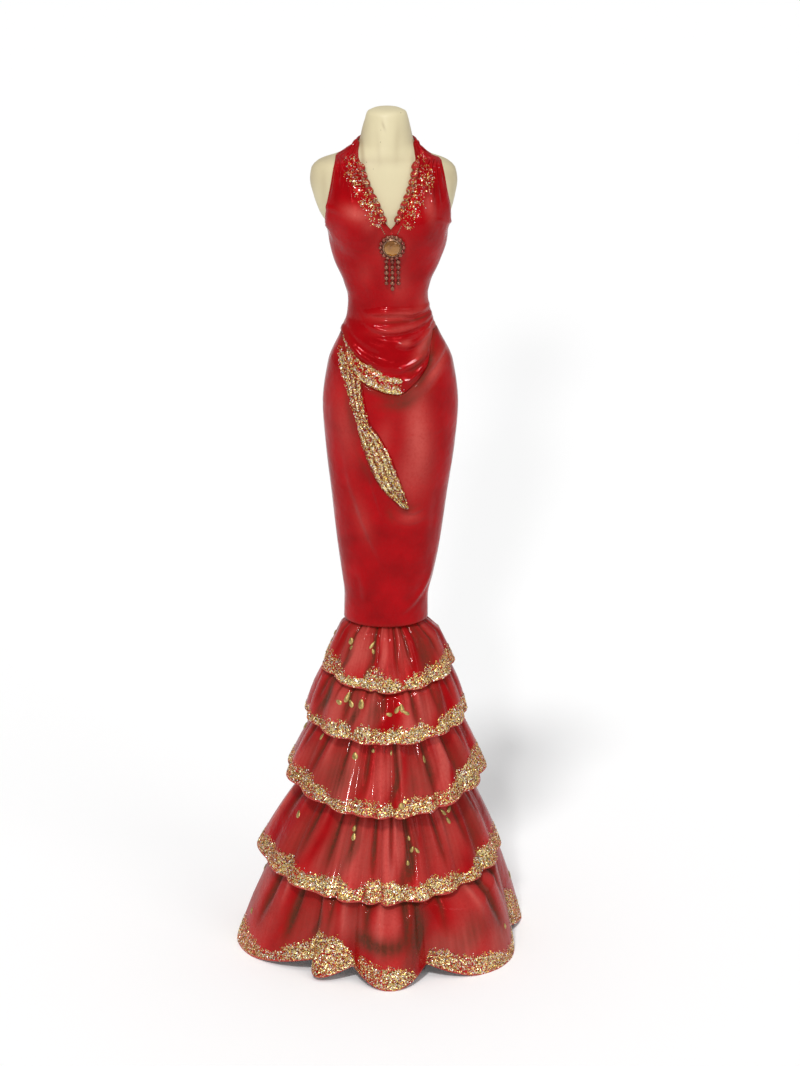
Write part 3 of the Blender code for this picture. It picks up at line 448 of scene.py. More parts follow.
# Gold dabs on the ruffles, as petals: ruffle, angle in degrees, height, length, width and lean in degrees
PETALS = Table(
    "ruffle angle z length width lean",
    (0, -51, 121.6, 3, 2.4, 20), (0, -48, 119.6, 2.4, 2, -40), (0, -21, 121.6, 3.2, 1.7, -30),
    (0, -19, 119.4, 2.6, 1.6, 30), (1, -44, 100.6, 2.8, 2.2, 70), (1, -38, 102.6, 4.2, 2.4, -10),
    (1, -34, 100.6, 3.2, 2.4, 40), (1, -24, 101.2, 4, 2.8, 5), (1, 8, 99.6, 3.4, 2, -34),
    (1, 12, 100.2, 3.6, 2.2, 8), (1, 15, 98.6, 3, 1.8, 60), (1, 1, 98, 2.4, 2, 70),
    (2, -62, 84.5, 3.4, 1.8, -15), (2, -27, 81.4, 3.2, 3, 10), (2, -13, 83.5, 2, 1.6, 0),
    (2, 3, 82.6, 2.4, 2, 0), (2, 30, 79.6, 3.4, 2.2, 0), (2, 8.6, 65, 2.8, 2.8, 0),
    (3, -66, 54, 3.4, 2.4, 30), (3, -23.5, 54.4, 2.6, 2.2, 0), (3, -22.6, 51.8, 3.4, 2.6, 5),
    (3, 14, 51.2, 2.2, 1.8, 0), (3, 15, 47.5, 3, 1.8, -30), (3, 18, 47.3, 2.6, 1.7, 30),
    (3, 12, 43, 2.2, 1.8, 0), (3, 44, 57.6, 3.2, 1.8, 25), (3, 49, 58.2, 3.2, 1.9, -40),
    (3, 45.5, 54.6, 3.2, 1.8, 10), (4, -76, 13.5, 3, 2, 40), (4, 62, 12, 2.4, 2, 0),
)
PETALS_BEHIND = 7
DOME_SUNK = 0.25  # the share of a dab's height that is under the cloth

# What each modelled cloth is cut to, in millimetres, and its area in square millimetres where it is shaped.
# A ruffle is a strip as long as its hem all round, and reaches up to its gathered edge under the tier above.
# Then how each is held and what it lies on
CUTS = Table(
    "node width length area held rests_on",
    ("bodice_front", 60, 96, 3700, "stretched", "form"), ("bodice_back", 56, 38, 1230, "stretched", "form"),
    ("halter_back", 46, 10, 310, "stretched", "form"), ("sheath_front", 70, 108, 6200, "stretched", "form"),
    ("sheath_back", 74, 112, 6800, "stretched", "form"), ("sash", 10, 50, None, "folded", "sheath_front"),
    ("ruffle_1", 155, 27, None, "gathered", "sheath_front"),
    ("ruffle_2", 189, 31, None, "gathered", "ruffle_1"),
    ("ruffle_3", 236, 34, None, "gathered", "ruffle_2"),
    ("ruffle_4", 291, 45, None, "gathered", "ruffle_3"),
    ("ruffle_5", 370, 46, None, "gathered", "ruffle_4"),
)

# Brooch, as rings of (radius, how far out, turn in steps) for its plate and its stone
BROOCH_X, BROOCH_Z, BROOCH_RADIUS = 1.6, 272.4, 4.5
PLATE_RINGS = (
    (4, 0, 0), (4.3, 0.15, 0), (4.35, 0.5, 0), (4.1, 0.8, 0), (3.6, 0.95, 0), (3.35, 1.3, 0), (3.1, 1.75, 0),
    (2.95, 1.75, 0), (2.9, 1.4, 0),
)
PLATE_SIDES, PLATE_TOP = 48, 1.4
STONE_RINGS = ((2.9, 1, 0), (2.92, 1.55, 0), (2.7, 1.95, 0.5), (2.1, 2.35, 0), (1.25, 2.6, 0.5))
STONE_SIDES, STONE_TOP = 12, 2.68
RING_BEADS, RING_BEAD, RING_RADIUS, RING_OUT = 16, 0.76, 4.05, 0.85
PENDANT_PITCH, PENDANT_DROP, PENDANT_BEAD, PENDANT_LINK = 2.0, 2.05, 0.86, 0.3
PENDANT_ROWS, PENDANT_TOP_Z = 5, 266.9
FINE_BALL, SMALL_BALL = (8, 12), (5, 8)  # rings and sides

# Neck trim
TRIM_LOW_Z, TRIM_HIGH_Z = 281.0, 301.5
TRIM_LOBES, TRIM_REACH, TRIM_WIDTH, LOBE_STEPS, TRIM_COLUMNS, STUD_COLUMN = 8, 0.9, 0.55, 16, 9, 5
TRIM_STUDS = {"left": (1, 2, 3, 5, 6), "right": (2, 3, 5)}  # the dips that hold a stud, from below
STUD, STUD_CHANGE, BAR_BEAD = 0.44, 0.1, 0.28
SIDES = {"left": -1, "right": 1}

# Paint
RED = (0.46, 0.0006, 0.0045)
DEEP_RED = (0.24, 0.0004, 0.002)
# Pink of the dry brushing, also used for painted highlights
PINK_AND_HIGHLIGHT = (0.50, 0.075, 0.062)
# Brown of the antique wash, also used for painted shade
WASH_AND_SHADE = (0.085, 0.024, 0.012)
CREAM = (0.67, 0.59, 0.37)
CREAM_SHADE = (0.36, 0.27, 0.15)
SPECK = (0.16, 0.10, 0.05)
GOLD = (0.64, 0.44, 0.10)
PALE_GOLD = (1.0, 0.85, 0.42)
SHADED_GOLD = (0.10, 0.055, 0.018)
COPPER = (0.36, 0.13, 0.06)
SILVER = (1.0, 0.97, 0.92)
# The darkest tone stands in for grains that catch no light: painted shade
GLITTER_TONES = ((0.0, SHADED_GOLD), (0.17, COPPER), (0.25, GOLD), (0.50, PALE_GOLD), (0.82, SILVER))
AMBER_DARK, AMBER = (0.20, 0.07, 0.006), (0.64, 0.29, 0.025)
FLOOR, FLOOR_LOW = (0.95, 0.95, 0.95), (0.88, 0.88, 0.88)
GOWN_COAT = 0.17
GOWN_GLOSS = 0.28
GRAIN = 0.00036
# Bronze, gold and rose: name, base colour, worn colour, roughness, how worn it is, how metallic
WORN_METALS = (
    ("petal_gold", (0.28, 0.18, 0.05), (0.62, 0.47, 0.18), 0.42, 0.45, 0.85),
    ("bronze", (0.22, 0.11, 0.06), (0.50, 0.30, 0.20), 0.38, 0.35, 0.85),
    ("bead_rose", (0.16, 0.022, 0.018), (0.42, 0.22, 0.13), 0.3, 0.3, 0.6),
)

# Painted patches: stains and painted shade on the form; dry pink and painted highlights, brown wash and painted shade,
# and glitter on the gown. Each is centre x and z, spread in x and z, lean in degrees, and how strong it is
FORM_STAINS_AND_SHADE = (
    (-8.8, 303, 0.7, 8, 4, 0.9), (8.9, 301, 0.7, 5, -4, 0.7), (3.4, 309, 1.2, 8, -3, 0.3),
    (-1.4, 314.4, 0.4, 1.6, 20, 0.8), (-3.2, 306, 0.8, 7, 5, 0.25), (21, 297, 2, 5, 30, 0.3),
    (-22.5, 291, 1.2, 7, 0, 0.4), (1.4, 281, 1.6, 2.4, 0, 0.4), (23, 289, 1, 6, 0, 0.4),
)
BODICE_PINK_AND_HIGHLIGHT = (
    (-12, 284, 4, 2.6, -20, 0.5), (-6.5, 280, 2.4, 2.4, 0, 0.3), (15, 286, 1.8, 5, 10, 0.6),
    (4, 258, 4, 7, 10, 0.35), (-8, 262, 3, 5, 0, 0.2), (3, 246, 8, 1.6, 5, 0.6), (5, 241.4, 8, 1.2, 8, 0.5),
    (14, 236, 2, 7, -35, 0.8), (12.5, 250, 2.5, 5, 0, 0.3), (1.4, 272, 6, 7, 0, 0.35),
    (-10, 284, 5, 2.2, -15, 0.6), (6.5, 236.3, 2, 1, 0, 0.7),
)
BODICE_WASH_AND_SHADE = (
    (15.5, 236.5, 1.4, 6, -38, 0.55), (11, 229, 1.2, 5, -42, 0.45), (8.5, 222, 3, 1.2, 30, 0.3),
    (-15.5, 238, 1, 4, 30, 0.3), (3, 243.8, 7, 0.5, 3, 0.45), (11.5, 244.2, 4, 0.4, 8, 0.6),
    (-9.5, 270.5, 6, 0.5, -12, 0.12),
)
SHEATH_PINK_AND_HIGHLIGHT = (
    (11, 203, 4.2, 17, 4, 0.95), (7, 186, 4.5, 10, 0, 0.45), (-15.5, 205, 4, 14, 8, 0.4),
    (17, 226, 2.4, 7, -30, 0.8), (-2, 200, 3, 8, -15, 0.35), (-9.5, 170, 3, 9, 15, 0.3),
    (8, 171, 4, 2.5, 0, 0.4),
)
SHEATH_WASH_AND_SHADE = (
    (-13.4, 210, 1.5, 9, 12, 0.5), (9, 216.5, 5, 2.2, 32, 0.55), (3, 214, 6.5, 2.2, 0, 0.55),
    (7.2, 174.4, 3.4, 1.3, 10, 0.5), (1, 172, 1.4, 3, 20, 0.35), (-9, 191, 1.2, 6, 25, 0.35),
    (16, 230, 1.8, 4, -38, 0.5), (12.5, 222.5, 2.2, 3, -38, 0.4), (-7, 203, 1, 4, 10, 0.4),
)
SHEATH_GLITTER = (
    (-15.6, 227, 1.9, 7, 14, 1), (-14, 219, 1, 3, 14, 0.5),
)
# Glitter on the drape: how high it reaches by x, and beside the neckline between two edges on each side
DRAPE_GLITTER = Table(
    "x top",
    (-21, 239), (-18, 239), (-16.4, 238.4), (-15, 236.2), (-12.6, 232.8), (-10, 230.2), (-5.6, 228.4),
    (-1, 225.4), (3.7, 224.2), (6.6, 222.4), (8, 219), (21, 219),
)
NECK_GLITTER = Table(
    "z left_outer left_inner right_inner right_outer",
    (279, -4, -3, 6, 8.8), (281.2, -6.8, -2.6, 5.4, 10.6), (285, -8.2, -3.4, 5.8, 12.8),
    (288.8, -11.3, -4.7, 6.4, 13.8), (293.2, -13.2, -7, 8.1, 16.6), (297.4, -15.1, -8.2, 9.5, 16.5),
    (301.5, -15.6, -9.8, 9.7, 13.9), (303.5, -13, -11.5, 11, 13),
)
NECK_GLITTER_AMOUNT, NECK_GLITTER_LOW_Z, NECK_GLITTER_HIGH_Z = 0.34, 278.5, 303.5
DRAPE_GLITTER_LEFT, DRAPE_GLITTER_RIGHT, DRAPE_GLITTER_HIGH_Z = -19.4, 6.6, 240
FLAKE_SIZE, SMALL_FLAKE, SASH_FLAKE = (0.15, 0.31), (0.11, 0.26), (0.10, 0.27)
FLAKE_LIFT, FLAKE_TILT = 0.12, 0.45

# Camera and light; each light's height above the level, its turn from the front towards +X, how wide it is
# in degrees, its strength
CAMERA = (4.4, -1300.0, 620.0)
CAMERA_TURN = 90 - 19.49
LENS = 126.8
WORLD_STRENGTH = 0.38
FLOOR_HALF = 9000.0
LIGHTS = Table(
    "name up round wide strength",
    ("key", 56, -16, 9, 1.45), ("fill", 34, 44, 26, 0.24), ("top", 82, 165, 40, 0.62),
    ("front", 21, -6, 3, 0.66),
)

dice = np.random.default_rng(SEED)


# Curves


def lerp(a, b, t):
    return a + (b - a) * t


def clamp(t):
    return np.clip(t, 0, 1)


def smoothstep(t):
    t = clamp(t)
    return t * t * (3 - 2 * t)


def bell(t):
    return np.exp(-t * t)


def signed_power(value, power):
    return np.copysign(np.abs(value) ** power, value)


def unit(vectors):
    return vectors / np.linalg.norm(vectors, axis=-1, keepdims=True)


def ripple(*waves):
    """A smooth uneven value from about -1 to 1: a sum of sines of (value, rate) pairs."""
    total = 0.0
    for k, (value, rate) in enumerate(waves):
        total = total + np.sin(value * rate + 1.7 * k) + 0.6 * np.sin(value * rate * 2.31 + 0.9 + k)
    return total / (1.6 * len(waves))


def soft_spots(table, x, z):
    """How strong painted patches are at x and z."""
    total = np.zeros(np.shape(x))
    for centre_x, centre_z, wide, high, lean, amount in table:
        turn = math.radians(lean)
        aside = (x - centre_x) * math.cos(turn) + (z - centre_z) * math.sin(turn)
        up = (z - centre_z) * math.cos(turn) - (x - centre_x) * math.sin(turn)
        total += amount * np.exp(-((aside / wide) ** 2) - (up / high) ** 2)
    return total


# Surfaces


def section_point(table, phi, z):
    half, centre, front, back, power = (table.at(name, z) for name in table.names[1:])
    side, ahead = np.sin(phi), np.cos(phi)
    x = centre + half * signed_power(side, 2 / power)
    y = -np.where(ahead > 0, front, back) * signed_power(ahead, 2 / power)
    return np.stack(np.broadcast_arrays(x, y, z), axis=-1).astype(float)


def form_point(phi, z):
    point = section_point(FORM, phi, z)
    aside = (np.abs(point[..., 0] - 0.3) - CUP_X) / CUP_SPREAD_X
    above = (z - CUP_Z) / (CUP_SPREAD_Z * np.where(z > CUP_Z, 1.35, 1.0))
    point[..., 1] -= CUP_RISE * np.exp(-aside * aside - above * above) * smoothstep(2 * np.cos(phi))
    return point


def sheath_point(phi, z):
    return section_point(SHEATH, phi, z)


def moved_out(surface, phi, z, by):
    step_phi, step_z = 0.02, 0.25
    round_it = surface(phi + step_phi, z) - surface(phi - step_phi, z)
    up_it = surface(phi, z + step_z) - surface(phi, z - step_z)
    by = np.broadcast_to(np.asarray(by, float), np.shape(phi))
    return surface(phi, z) + unit(np.cross(round_it, up_it)) * by[..., None]


def crease_height(creases, x, z):
    """How far the creases raise the cloth at x and z."""
    raised = np.zeros(np.shape(x))
    t = np.linspace(0, 1, RIDGE_STEPS)
    for crease in creases:
        line_x, line_z = (
            (1 - t) ** 2 * crease["start_" + axis]
            + 2 * t * (1 - t) * crease["middle_" + axis]
            + t * t * crease["end_" + axis]
            for axis in "xz"
        )
        nearest = np.full(np.shape(x), np.inf)
        along, above = np.zeros(np.shape(x)), np.zeros(np.shape(x))
        for k in range(RIDGE_STEPS - 1):
            run_x, run_z = line_x[k + 1] - line_x[k], line_z[k + 1] - line_z[k]
            off_x, off_z = x - line_x[k], z - line_z[k]
            share = clamp((off_x * run_x + off_z * run_z) / (run_x**2 + run_z**2))
            off_x, off_z = off_x - share * run_x, off_z - share * run_z
            far = np.hypot(off_x, off_z)
            closer = far < nearest
            nearest = np.where(closer, far, nearest)
            along = np.where(closer, t[k] + share / (RIDGE_STEPS - 1), along)
            above = np.where(closer, np.sign(off_z), above)
        fading = np.sin(math.pi * clamp(lerp(0.04, 0.96, along))) ** 0.8
        width = crease["width"]
        trough = TROUGH_SHARE * bell((nearest - TROUGH_AWAY * width) / (0.8 * width)) * (above < 0)
        raised += crease["height"] * fading * (bell(nearest / width) - trough)
    return raised


def facing_front(phi):
    """1 in front and 0 behind, with a soft change past the sides."""
    return smoothstep(0.5 + 3 * np.cos(phi))


def drape_z(phi):
    """The height of the bodice's lower edge at phi."""
    x = SHEATH.at("half", 226.0) * np.sin(phi)
    behind = lerp(DRAPE_SIDE_Z, DRAPE.rows[-1][1], (1 + np.sin(phi)) / 2)
    return np.where(np.cos(phi) > 0, DRAPE.at("z", x), behind)


def sheath_face(phi, z, out=0.0, tucks=True):
    tucked = smoothstep((z - drape_z(phi) + TUCK_RUN) / TUCK_RUN) if tucks else 0.0
    x = sheath_point(phi, z)[..., 0]
    behind, ahead = crease_height(BACK_SHEATH_CREASES, x, z), crease_height(SHEATH_CREASES, x, z)
    raised = lerp(behind, ahead, facing_front(phi))
    return moved_out(sheath_point, phi, z, out + raised * (1 - tucked) - TUCK_DEPTH * tucked)


def merged(phi, z):
    """How far the drape's sides have sunk level with the skirt: 1 at its edge there."""
    x = sheath_point(phi, z)[..., 0]
    near = smoothstep((MERGE_RUN - (z - drape_z(phi))) / MERGE_RUN)
    aside = smoothstep((x - MERGE_X) / 4) + smoothstep((MERGE_LEFT_X - x) / 2.5)
    return near * aside * smoothstep(0.6 + 2 * np.cos(phi))


def bodice_face(phi, z, out=0.0, raised=0.0):
    flat = merged(phi, z)
    out, raised = out - 0.36 * flat, raised * (1 - 0.8 * flat)
    upper = moved_out(form_point, phi, z, ON_FORM + out + raised)
    share = smoothstep((WAIST_HIGH_Z - z) / (WAIST_HIGH_Z - WAIST_LOW_Z))[..., None]
    lower = moved_out(sheath_point, phi, z, out + DRAPE_RISE + raised)
    return upper * (1 - share) + lower * share


def angle_at(table, x, z):
    half, centre, power = (table.at(name, z) for name in ("half", "centre", "power"))
    share = np.clip((x - centre) / half, -1.0, 1.0)
    return np.arcsin(signed_power(share, power / 2))


def edge_angle(name, z):
    return angle_at(FORM, EDGES.at(name, z), z)


def on_bodice(x, z):
    """The bodice's plain face at a single x and z."""
    height = np.array(z)
    return bodice_face(angle_at(FORM, np.array(x), height), height)


# Meshes


def placed(piece, slot, *nodes):
    """The piece rides on the part; where it stands for a node that is cut from cloth, its cut is stated."""
    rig.ride(piece, "root")
    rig.slot(piece, slot)
    if nodes:
        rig.replaces(piece, *nodes)
    for cut in CUTS:
        if cut["node"] in nodes:
            area = cut["area"] and cut["area"] * MM * MM
            flat = (cut["width"] * MM, cut["length"] * MM)
            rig.sheet(piece, flat=flat, held=cut["held"], rests_on=[cut["rests_on"]], area=area)
    return piece


def add_mesh(name, points, faces, finish, values=None):
    """A smooth-shaded mesh object from points in millimetres; values are named numbers, one a point."""
    mesh = bpy.data.meshes.new(name)
    mesh.from_pydata((np.asarray(points, float) * MM).tolist(), [], faces)
    for key, numbers in (values or {}).items():
        attribute = mesh.attributes.new(key, "FLOAT", "POINT")
        attribute.data.foreach_set("value", np.asarray(numbers, np.float32).ravel())
    mesh.materials.append(bpy.data.materials[finish])
    mesh.shade_smooth()
    made = bpy.data.objects.new(name, mesh)
    bpy.context.scene.collection.objects.link(made)
    return made


def grid_faces(rows, columns, closed):
    """The point numbers of a grid, with its first column again where it is closed, and its faces."""
    ids = np.arange(rows * columns).reshape(rows, columns)
    if closed:
        ids = np.concatenate([ids, ids[:, :1]], axis=1)
    return ids, np.stack([ids[:-1, :-1], ids[:-1, 1:], ids[1:, 1:], ids[1:, :-1]], axis=-1).reshape(-1, 4)


def edged(outer, inner, values, axis, where, welded=0):
    """The two faces with one more row that rounds an open edge off; its first few points, which are
    welded to another sheet, stay where they are."""
    last, before = (-1, -2) if where else (0, 1)

    def grown(grid, extra):
        extra = np.expand_dims(extra, axis)
        return np.concatenate([grid, extra] if where else [extra, grid], axis)

    edges = [np.take(face, last, axis) for face in (outer, inner)]
    reach = unit(edges[0] - np.take(outer, before, axis))
    middle = (edges[0] + edges[1]) / 2
    thick = np.linalg.norm(edges[0] - edges[1], axis=-1, keepdims=True)
    rounded = []
    for edge in edges:
        extra = middle + 0.45 * (edge - middle) + reach * thick * 0.3
        extra[:welded] = edge[:welded]
        rounded.append(extra)
    widened = {key: grown(numbers, np.take(numbers, last, axis)) for key, numbers in values.items()}
    return grown(outer, rounded[0]), grown(inner, rounded[1]), widened


def sheet_parts(outer, inner, values, closed=False, welded=0):
    """Points, faces and values of a thin closed cloth with rounded open edges, from two grids of points.
    The first column's first few rows may be welded to another sheet."""
    for where in (0, 1):
        outer, inner, values = edged(outer, inner, values, 0, where)
    if welded:
        welded += 1
    if not closed:
        outer, inner, values = edged(outer, inner, values, 1, 0, welded)
        outer, inner, values = edged(outer, inner, values, 1, 1)
    ids, quads = grid_faces(*outer.shape[:2], closed)
    first, second = outer.reshape(-1, 3), inner.reshape(-1, 3)
    a, b, c, d = (first[quads[:, k]] for k in range(4))
    outwards = (np.cross(c - a, d - b) * (a - second[quads[:, 0]])).sum() > 0
    rims = [(ids[0, :-1], ids[0, 1:]), (ids[-1, 1:], ids[-1, :-1])]
    if not closed:
        low = max(welded - 1, 0)
        rims += [(ids[low + 1:, 0], ids[low:-1, 0]), (ids[:-1, -1], ids[1:, -1])]
    count = len(first)
    strips = [np.stack([high, low, low + count, high + count], axis=-1) for low, high in rims]
    faces = np.concatenate([quads, quads[:, ::-1] + count, *strips])
    values = {key: np.concatenate([numbers.ravel()] * 2) for key, numbers in values.items()}
    return np.concatenate([first, second]), faces if outwards else faces[:, ::-1], values


def shell(name, outer, inner, wash, blush, glitter, closed=False):
    """A thin cloth in the gown's paint, from its two faces."""
    shape = outer.shape[:2]
    values = {"wash": wash, "blush": blush, "glitter": glitter}
    values = {key: np.broadcast_to(numbers, shape) for key, numbers in values.items()}
    points, faces, values = sheet_parts(outer, inner, values, closed)
    return add_mesh(name, points, faces.tolist(), "gown_paint", values)


def sewn(name, sheets):
    """One mesh from sheets that share points along a seam."""
    starts = np.cumsum([0] + [len(points) for points, _, _ in sheets])
    points = np.concatenate([points for points, _, _ in sheets])
    faces = np.concatenate([faces + start for (_, faces, _), start in zip(sheets, starts)])
    _, kept, place = np.unique(np.round(points, 4), axis=0, return_index=True, return_inverse=True)
    joined_faces = [list(dict.fromkeys(face)) for face in place.reshape(-1)[faces].tolist()]
    values = {key: np.concatenate([theirs[key] for _, _, theirs in sheets])[kept] for key in sheets[0][2]}
    whole_faces = [face for face in joined_faces if len(face) > 2]
    return add_mesh(name, points[kept], whole_faces, "gown_paint", values)


def level_wall(grid):
    """The inner face of closed rows of outer points: the wall is laid inwards on the level."""
    along = np.roll(grid, -1, axis=1) - grid
    down = np.diff(grid, axis=0)
    down = np.concatenate([down, down[-1:]])
    facing = unit(np.cross(down, along))
    facing *= np.sign((facing[..., :2] * grid[..., :2]).sum(axis=2))[..., None]
    meeting = [facing, np.roll(facing, 1, axis=1)]
    meeting += [np.concatenate([side[:1], side[:-1]]) for side in meeting]
    level = unit(sum(meeting) * (1, 1, 0))
    squareness = np.min([(side * level).sum(axis=2) for side in meeting], axis=0)
    return grid - level * np.clip(WALL / squareness, WALL, RUFFLE_REACH)[..., None]


def spots(outer, density, thick, closed):
    """Random points on a sheet, with their normals: thick is how many there are to each square
    millimetre where density is 1."""
    if closed:
        outer = np.concatenate([outer, outer[:, :1]], axis=1)
        density = np.concatenate([density, density[:, :1]], axis=1)
    a, b, c, d = outer[:-1, :-1], outer[:-1, 1:], outer[1:, 1:], outer[1:, :-1]
    cross = np.cross(c - a, d - b)
    area = np.linalg.norm(cross, axis=-1) / 2
    share = (density[:-1, :-1] + density[:-1, 1:] + density[1:, 1:] + density[1:, :-1]) / 4
    many = dice.poisson(area * share * thick).ravel()
    a, b, c, d, cross = (np.repeat(part.reshape(-1, 3), many, axis=0) for part in (a, b, c, d, cross))
    u, v = dice.random((2, len(a), 1))
    where = a * (1 - u) * (1 - v) + b * u * (1 - v) + c * u * v + d * (1 - u) * v
    return where, unit(cross)


def sprinkle(name, sheets, thick, size=FLAKE_SIZE, paler=1.0, closed=False, ahead=True):
    """Glitter over sheets, each with its density: small squares, turned and tilted unevenly, in one mesh.
    They face ahead, or away from the body's axis."""
    found = [spots(outer, density, thick, closed) for outer, density in sheets]
    where, facing = (np.concatenate(parts) for parts in zip(*found))
    outwards = -facing[:, 1] if ahead else (facing[:, :2] * where[:, :2]).sum(axis=1)
    facing = facing * np.sign(outwards)[:, None]
    count = len(where)
    facing = unit(facing + FLAKE_TILT * dice.normal(size=(count, 3)))
    aside = unit(np.cross(facing, dice.normal(size=(count, 3))))
    across = np.cross(facing, aside)
    radius = dice.uniform(*size, (count, 1, 1))
    turns = np.arange(4) * math.pi / 2
    ring = np.cos(turns)[None, :, None] * aside[:, None] + np.sin(turns)[None, :, None] * across[:, None]
    points = where[:, None] + facing[:, None] * FLAKE_LIFT + ring * radius
    faces = np.arange(count * 4).reshape(count, 4).tolist()
    tone = np.repeat(dice.random(count) ** (1 / paler), 4)
    placed(add_mesh(name, points.reshape(-1, 3), faces, "glitter_flakes", {"tone": tone}), "glitter")


def stacked(rings, first=None, last=None):
    """Points and faces of a row of rings; a point may close it before the first ring or after the last."""
    sides = len(rings[0])
    points = [point for ring in rings for point in ring]
    _, quads = grid_faces(len(rings), sides, True)
    faces = quads.tolist()
    end = len(points) - sides
    for k in range(sides):
        n = (k + 1) % sides
        if first is not None:
            faces.append((len(points), n, k))
        if last is not None:
            faces.append((len(points) + (first is not None), end + k, end + n))
    return points + [point for point in (first, last) if point is not None], faces


def joined(name, parts, finish):
    """One mesh from many (points, faces) parts."""
    points, faces = [], []
    for some, theirs in parts:
        faces += [[i + len(points) for i in face] for face in theirs]
        points += some
    return add_mesh(name, points, faces, finish)


def dome(across, up, facing, centre, width, length, height=0.4, rings=5, sides=14, taper=0.4):
    """A low dome on a surface; taper narrows its upper end to a petal's tip."""

    def ring(share):
        points = []
        for k in range(sides):
            turn = 2 * math.pi * k / sides
            narrow = 1 - taper * (1 + math.cos(turn)) / 2
            aside = across * math.sin(turn) * width / 2 * share * narrow
            along = up * math.cos(turn) * length / 2 * share
            rise = height * (math.cos(math.pi / 2 * share**2) - DOME_SUNK)
            points.append(centre + aside + along + facing * rise)
        return points

    shares = [math.sin(math.pi / 2 * r / rings) for r in range(rings, 0, -1)]
    return stacked([ring(share) for share in shares], last=centre + facing * height * (1 - DOME_SUNK))


def ball(centre, radius, rings=6, sides=10, stretch=1.0):
    """A bead; stretch lengthens it in height."""
    rows = []
    for r in range(rings - 1, 0, -1):
        turn = math.pi * r / rings
        sides_round = [2 * math.pi * k / sides for k in range(sides)]
        rows.append([
            centre + radius * np.array((math.sin(turn) * math.cos(side), math.sin(turn) * math.sin(side),
                                        math.cos(turn) * stretch))
            for side in sides_round
        ])
    pole = np.array((0, 0, radius * stretch))
    return stacked(rows, centre - pole, centre + pole)


# Materials


class Paint:
    """A new material: numbers go to its shader's sockets, and nodes are added to feed the others."""

    def __init__(self, name, **numbers):
        material = bpy.data.materials.new(name)
        material.use_nodes = True
        self.tree = material.node_tree
        self.shader = self.tree.nodes["Principled BSDF"]
        for key, value in numbers.items():
            self.shader.inputs[key.replace("_", " ")].default_value = value
        self.where = self.add("TexCoord").outputs["Object"]

    def add(self, kind, props=None, **inputs):
        """A node with its properties, and its inputs set or linked; _0 is the input at that place."""
        node = self.tree.nodes.new("ShaderNode" + kind)
        for key, value in (props or {}).items():
            setattr(node, key, value)
        for key, value in inputs.items():
            socket = node.inputs[int(key[1:])] if key[0] == "_" else node.inputs[key.replace("_", " ")]
            if isinstance(value, bpy.types.NodeSocket):
                self.tree.links.new(value, socket)
            else:
                socket.default_value = value
        return node

    def feed(self, name, socket):
        self.tree.links.new(socket, self.shader.inputs[name])

    def mesh_value(self, name):
        return self.add("Attribute", {"attribute_name": name}).outputs["Fac"]

    def mix(self, share, first, second):
        first, second = (
            value if isinstance(value, bpy.types.NodeSocket) else (*value, 1) for value in (first, second)
        )
        return self.add("Mix", {"data_type": "RGBA"}, _0=share, _6=first, _7=second).outputs[2]

    def maths(self, operation, first, second=0.0, third=0.0, clamped=False):
        props = {"operation": operation, "use_clamp": clamped}
        return self.add("Math", props, _0=first, _1=second, _2=third).outputs[0]

    def scaled(self, value, factor, shift, clamped=False):
        return self.maths("MULTIPLY_ADD", value, factor, shift, clamped)

    def times(self, first, second, clamped=False):
        return self.maths("MULTIPLY", first, second, clamped=clamped)

    def tones(self, share):
        """The glitter's tones, in bands; the darkest is painted shade on grains that catch no light."""
        node = self.add("ValToRGB", _0=share)
        node.color_ramp.interpolation = "CONSTANT"
        while len(node.color_ramp.elements) < len(GLITTER_TONES):
            node.color_ramp.elements.new(0.5)
        for element, (place, colour) in zip(node.color_ramp.elements, GLITTER_TONES):
            element.position = place
            element.color = (*colour, 1)
        return node.outputs[0]

    def noise(self, scale, detail=3.0, roughness=0.55):
        numbers = {"Scale": scale, "Detail": detail, "Roughness": roughness}
        return self.add("TexNoise", Vector=self.where, **numbers).outputs[0]

    def cells(self, scale):
        return self.add("TexVoronoi", {"feature": "F1"}, Vector=self.where, Scale=scale, Randomness=1.0)

    def bump(self, height, strength, distance, **under):
        return self.add("Bump", Strength=strength, Distance=distance, Height=height, **under).outputs[0]


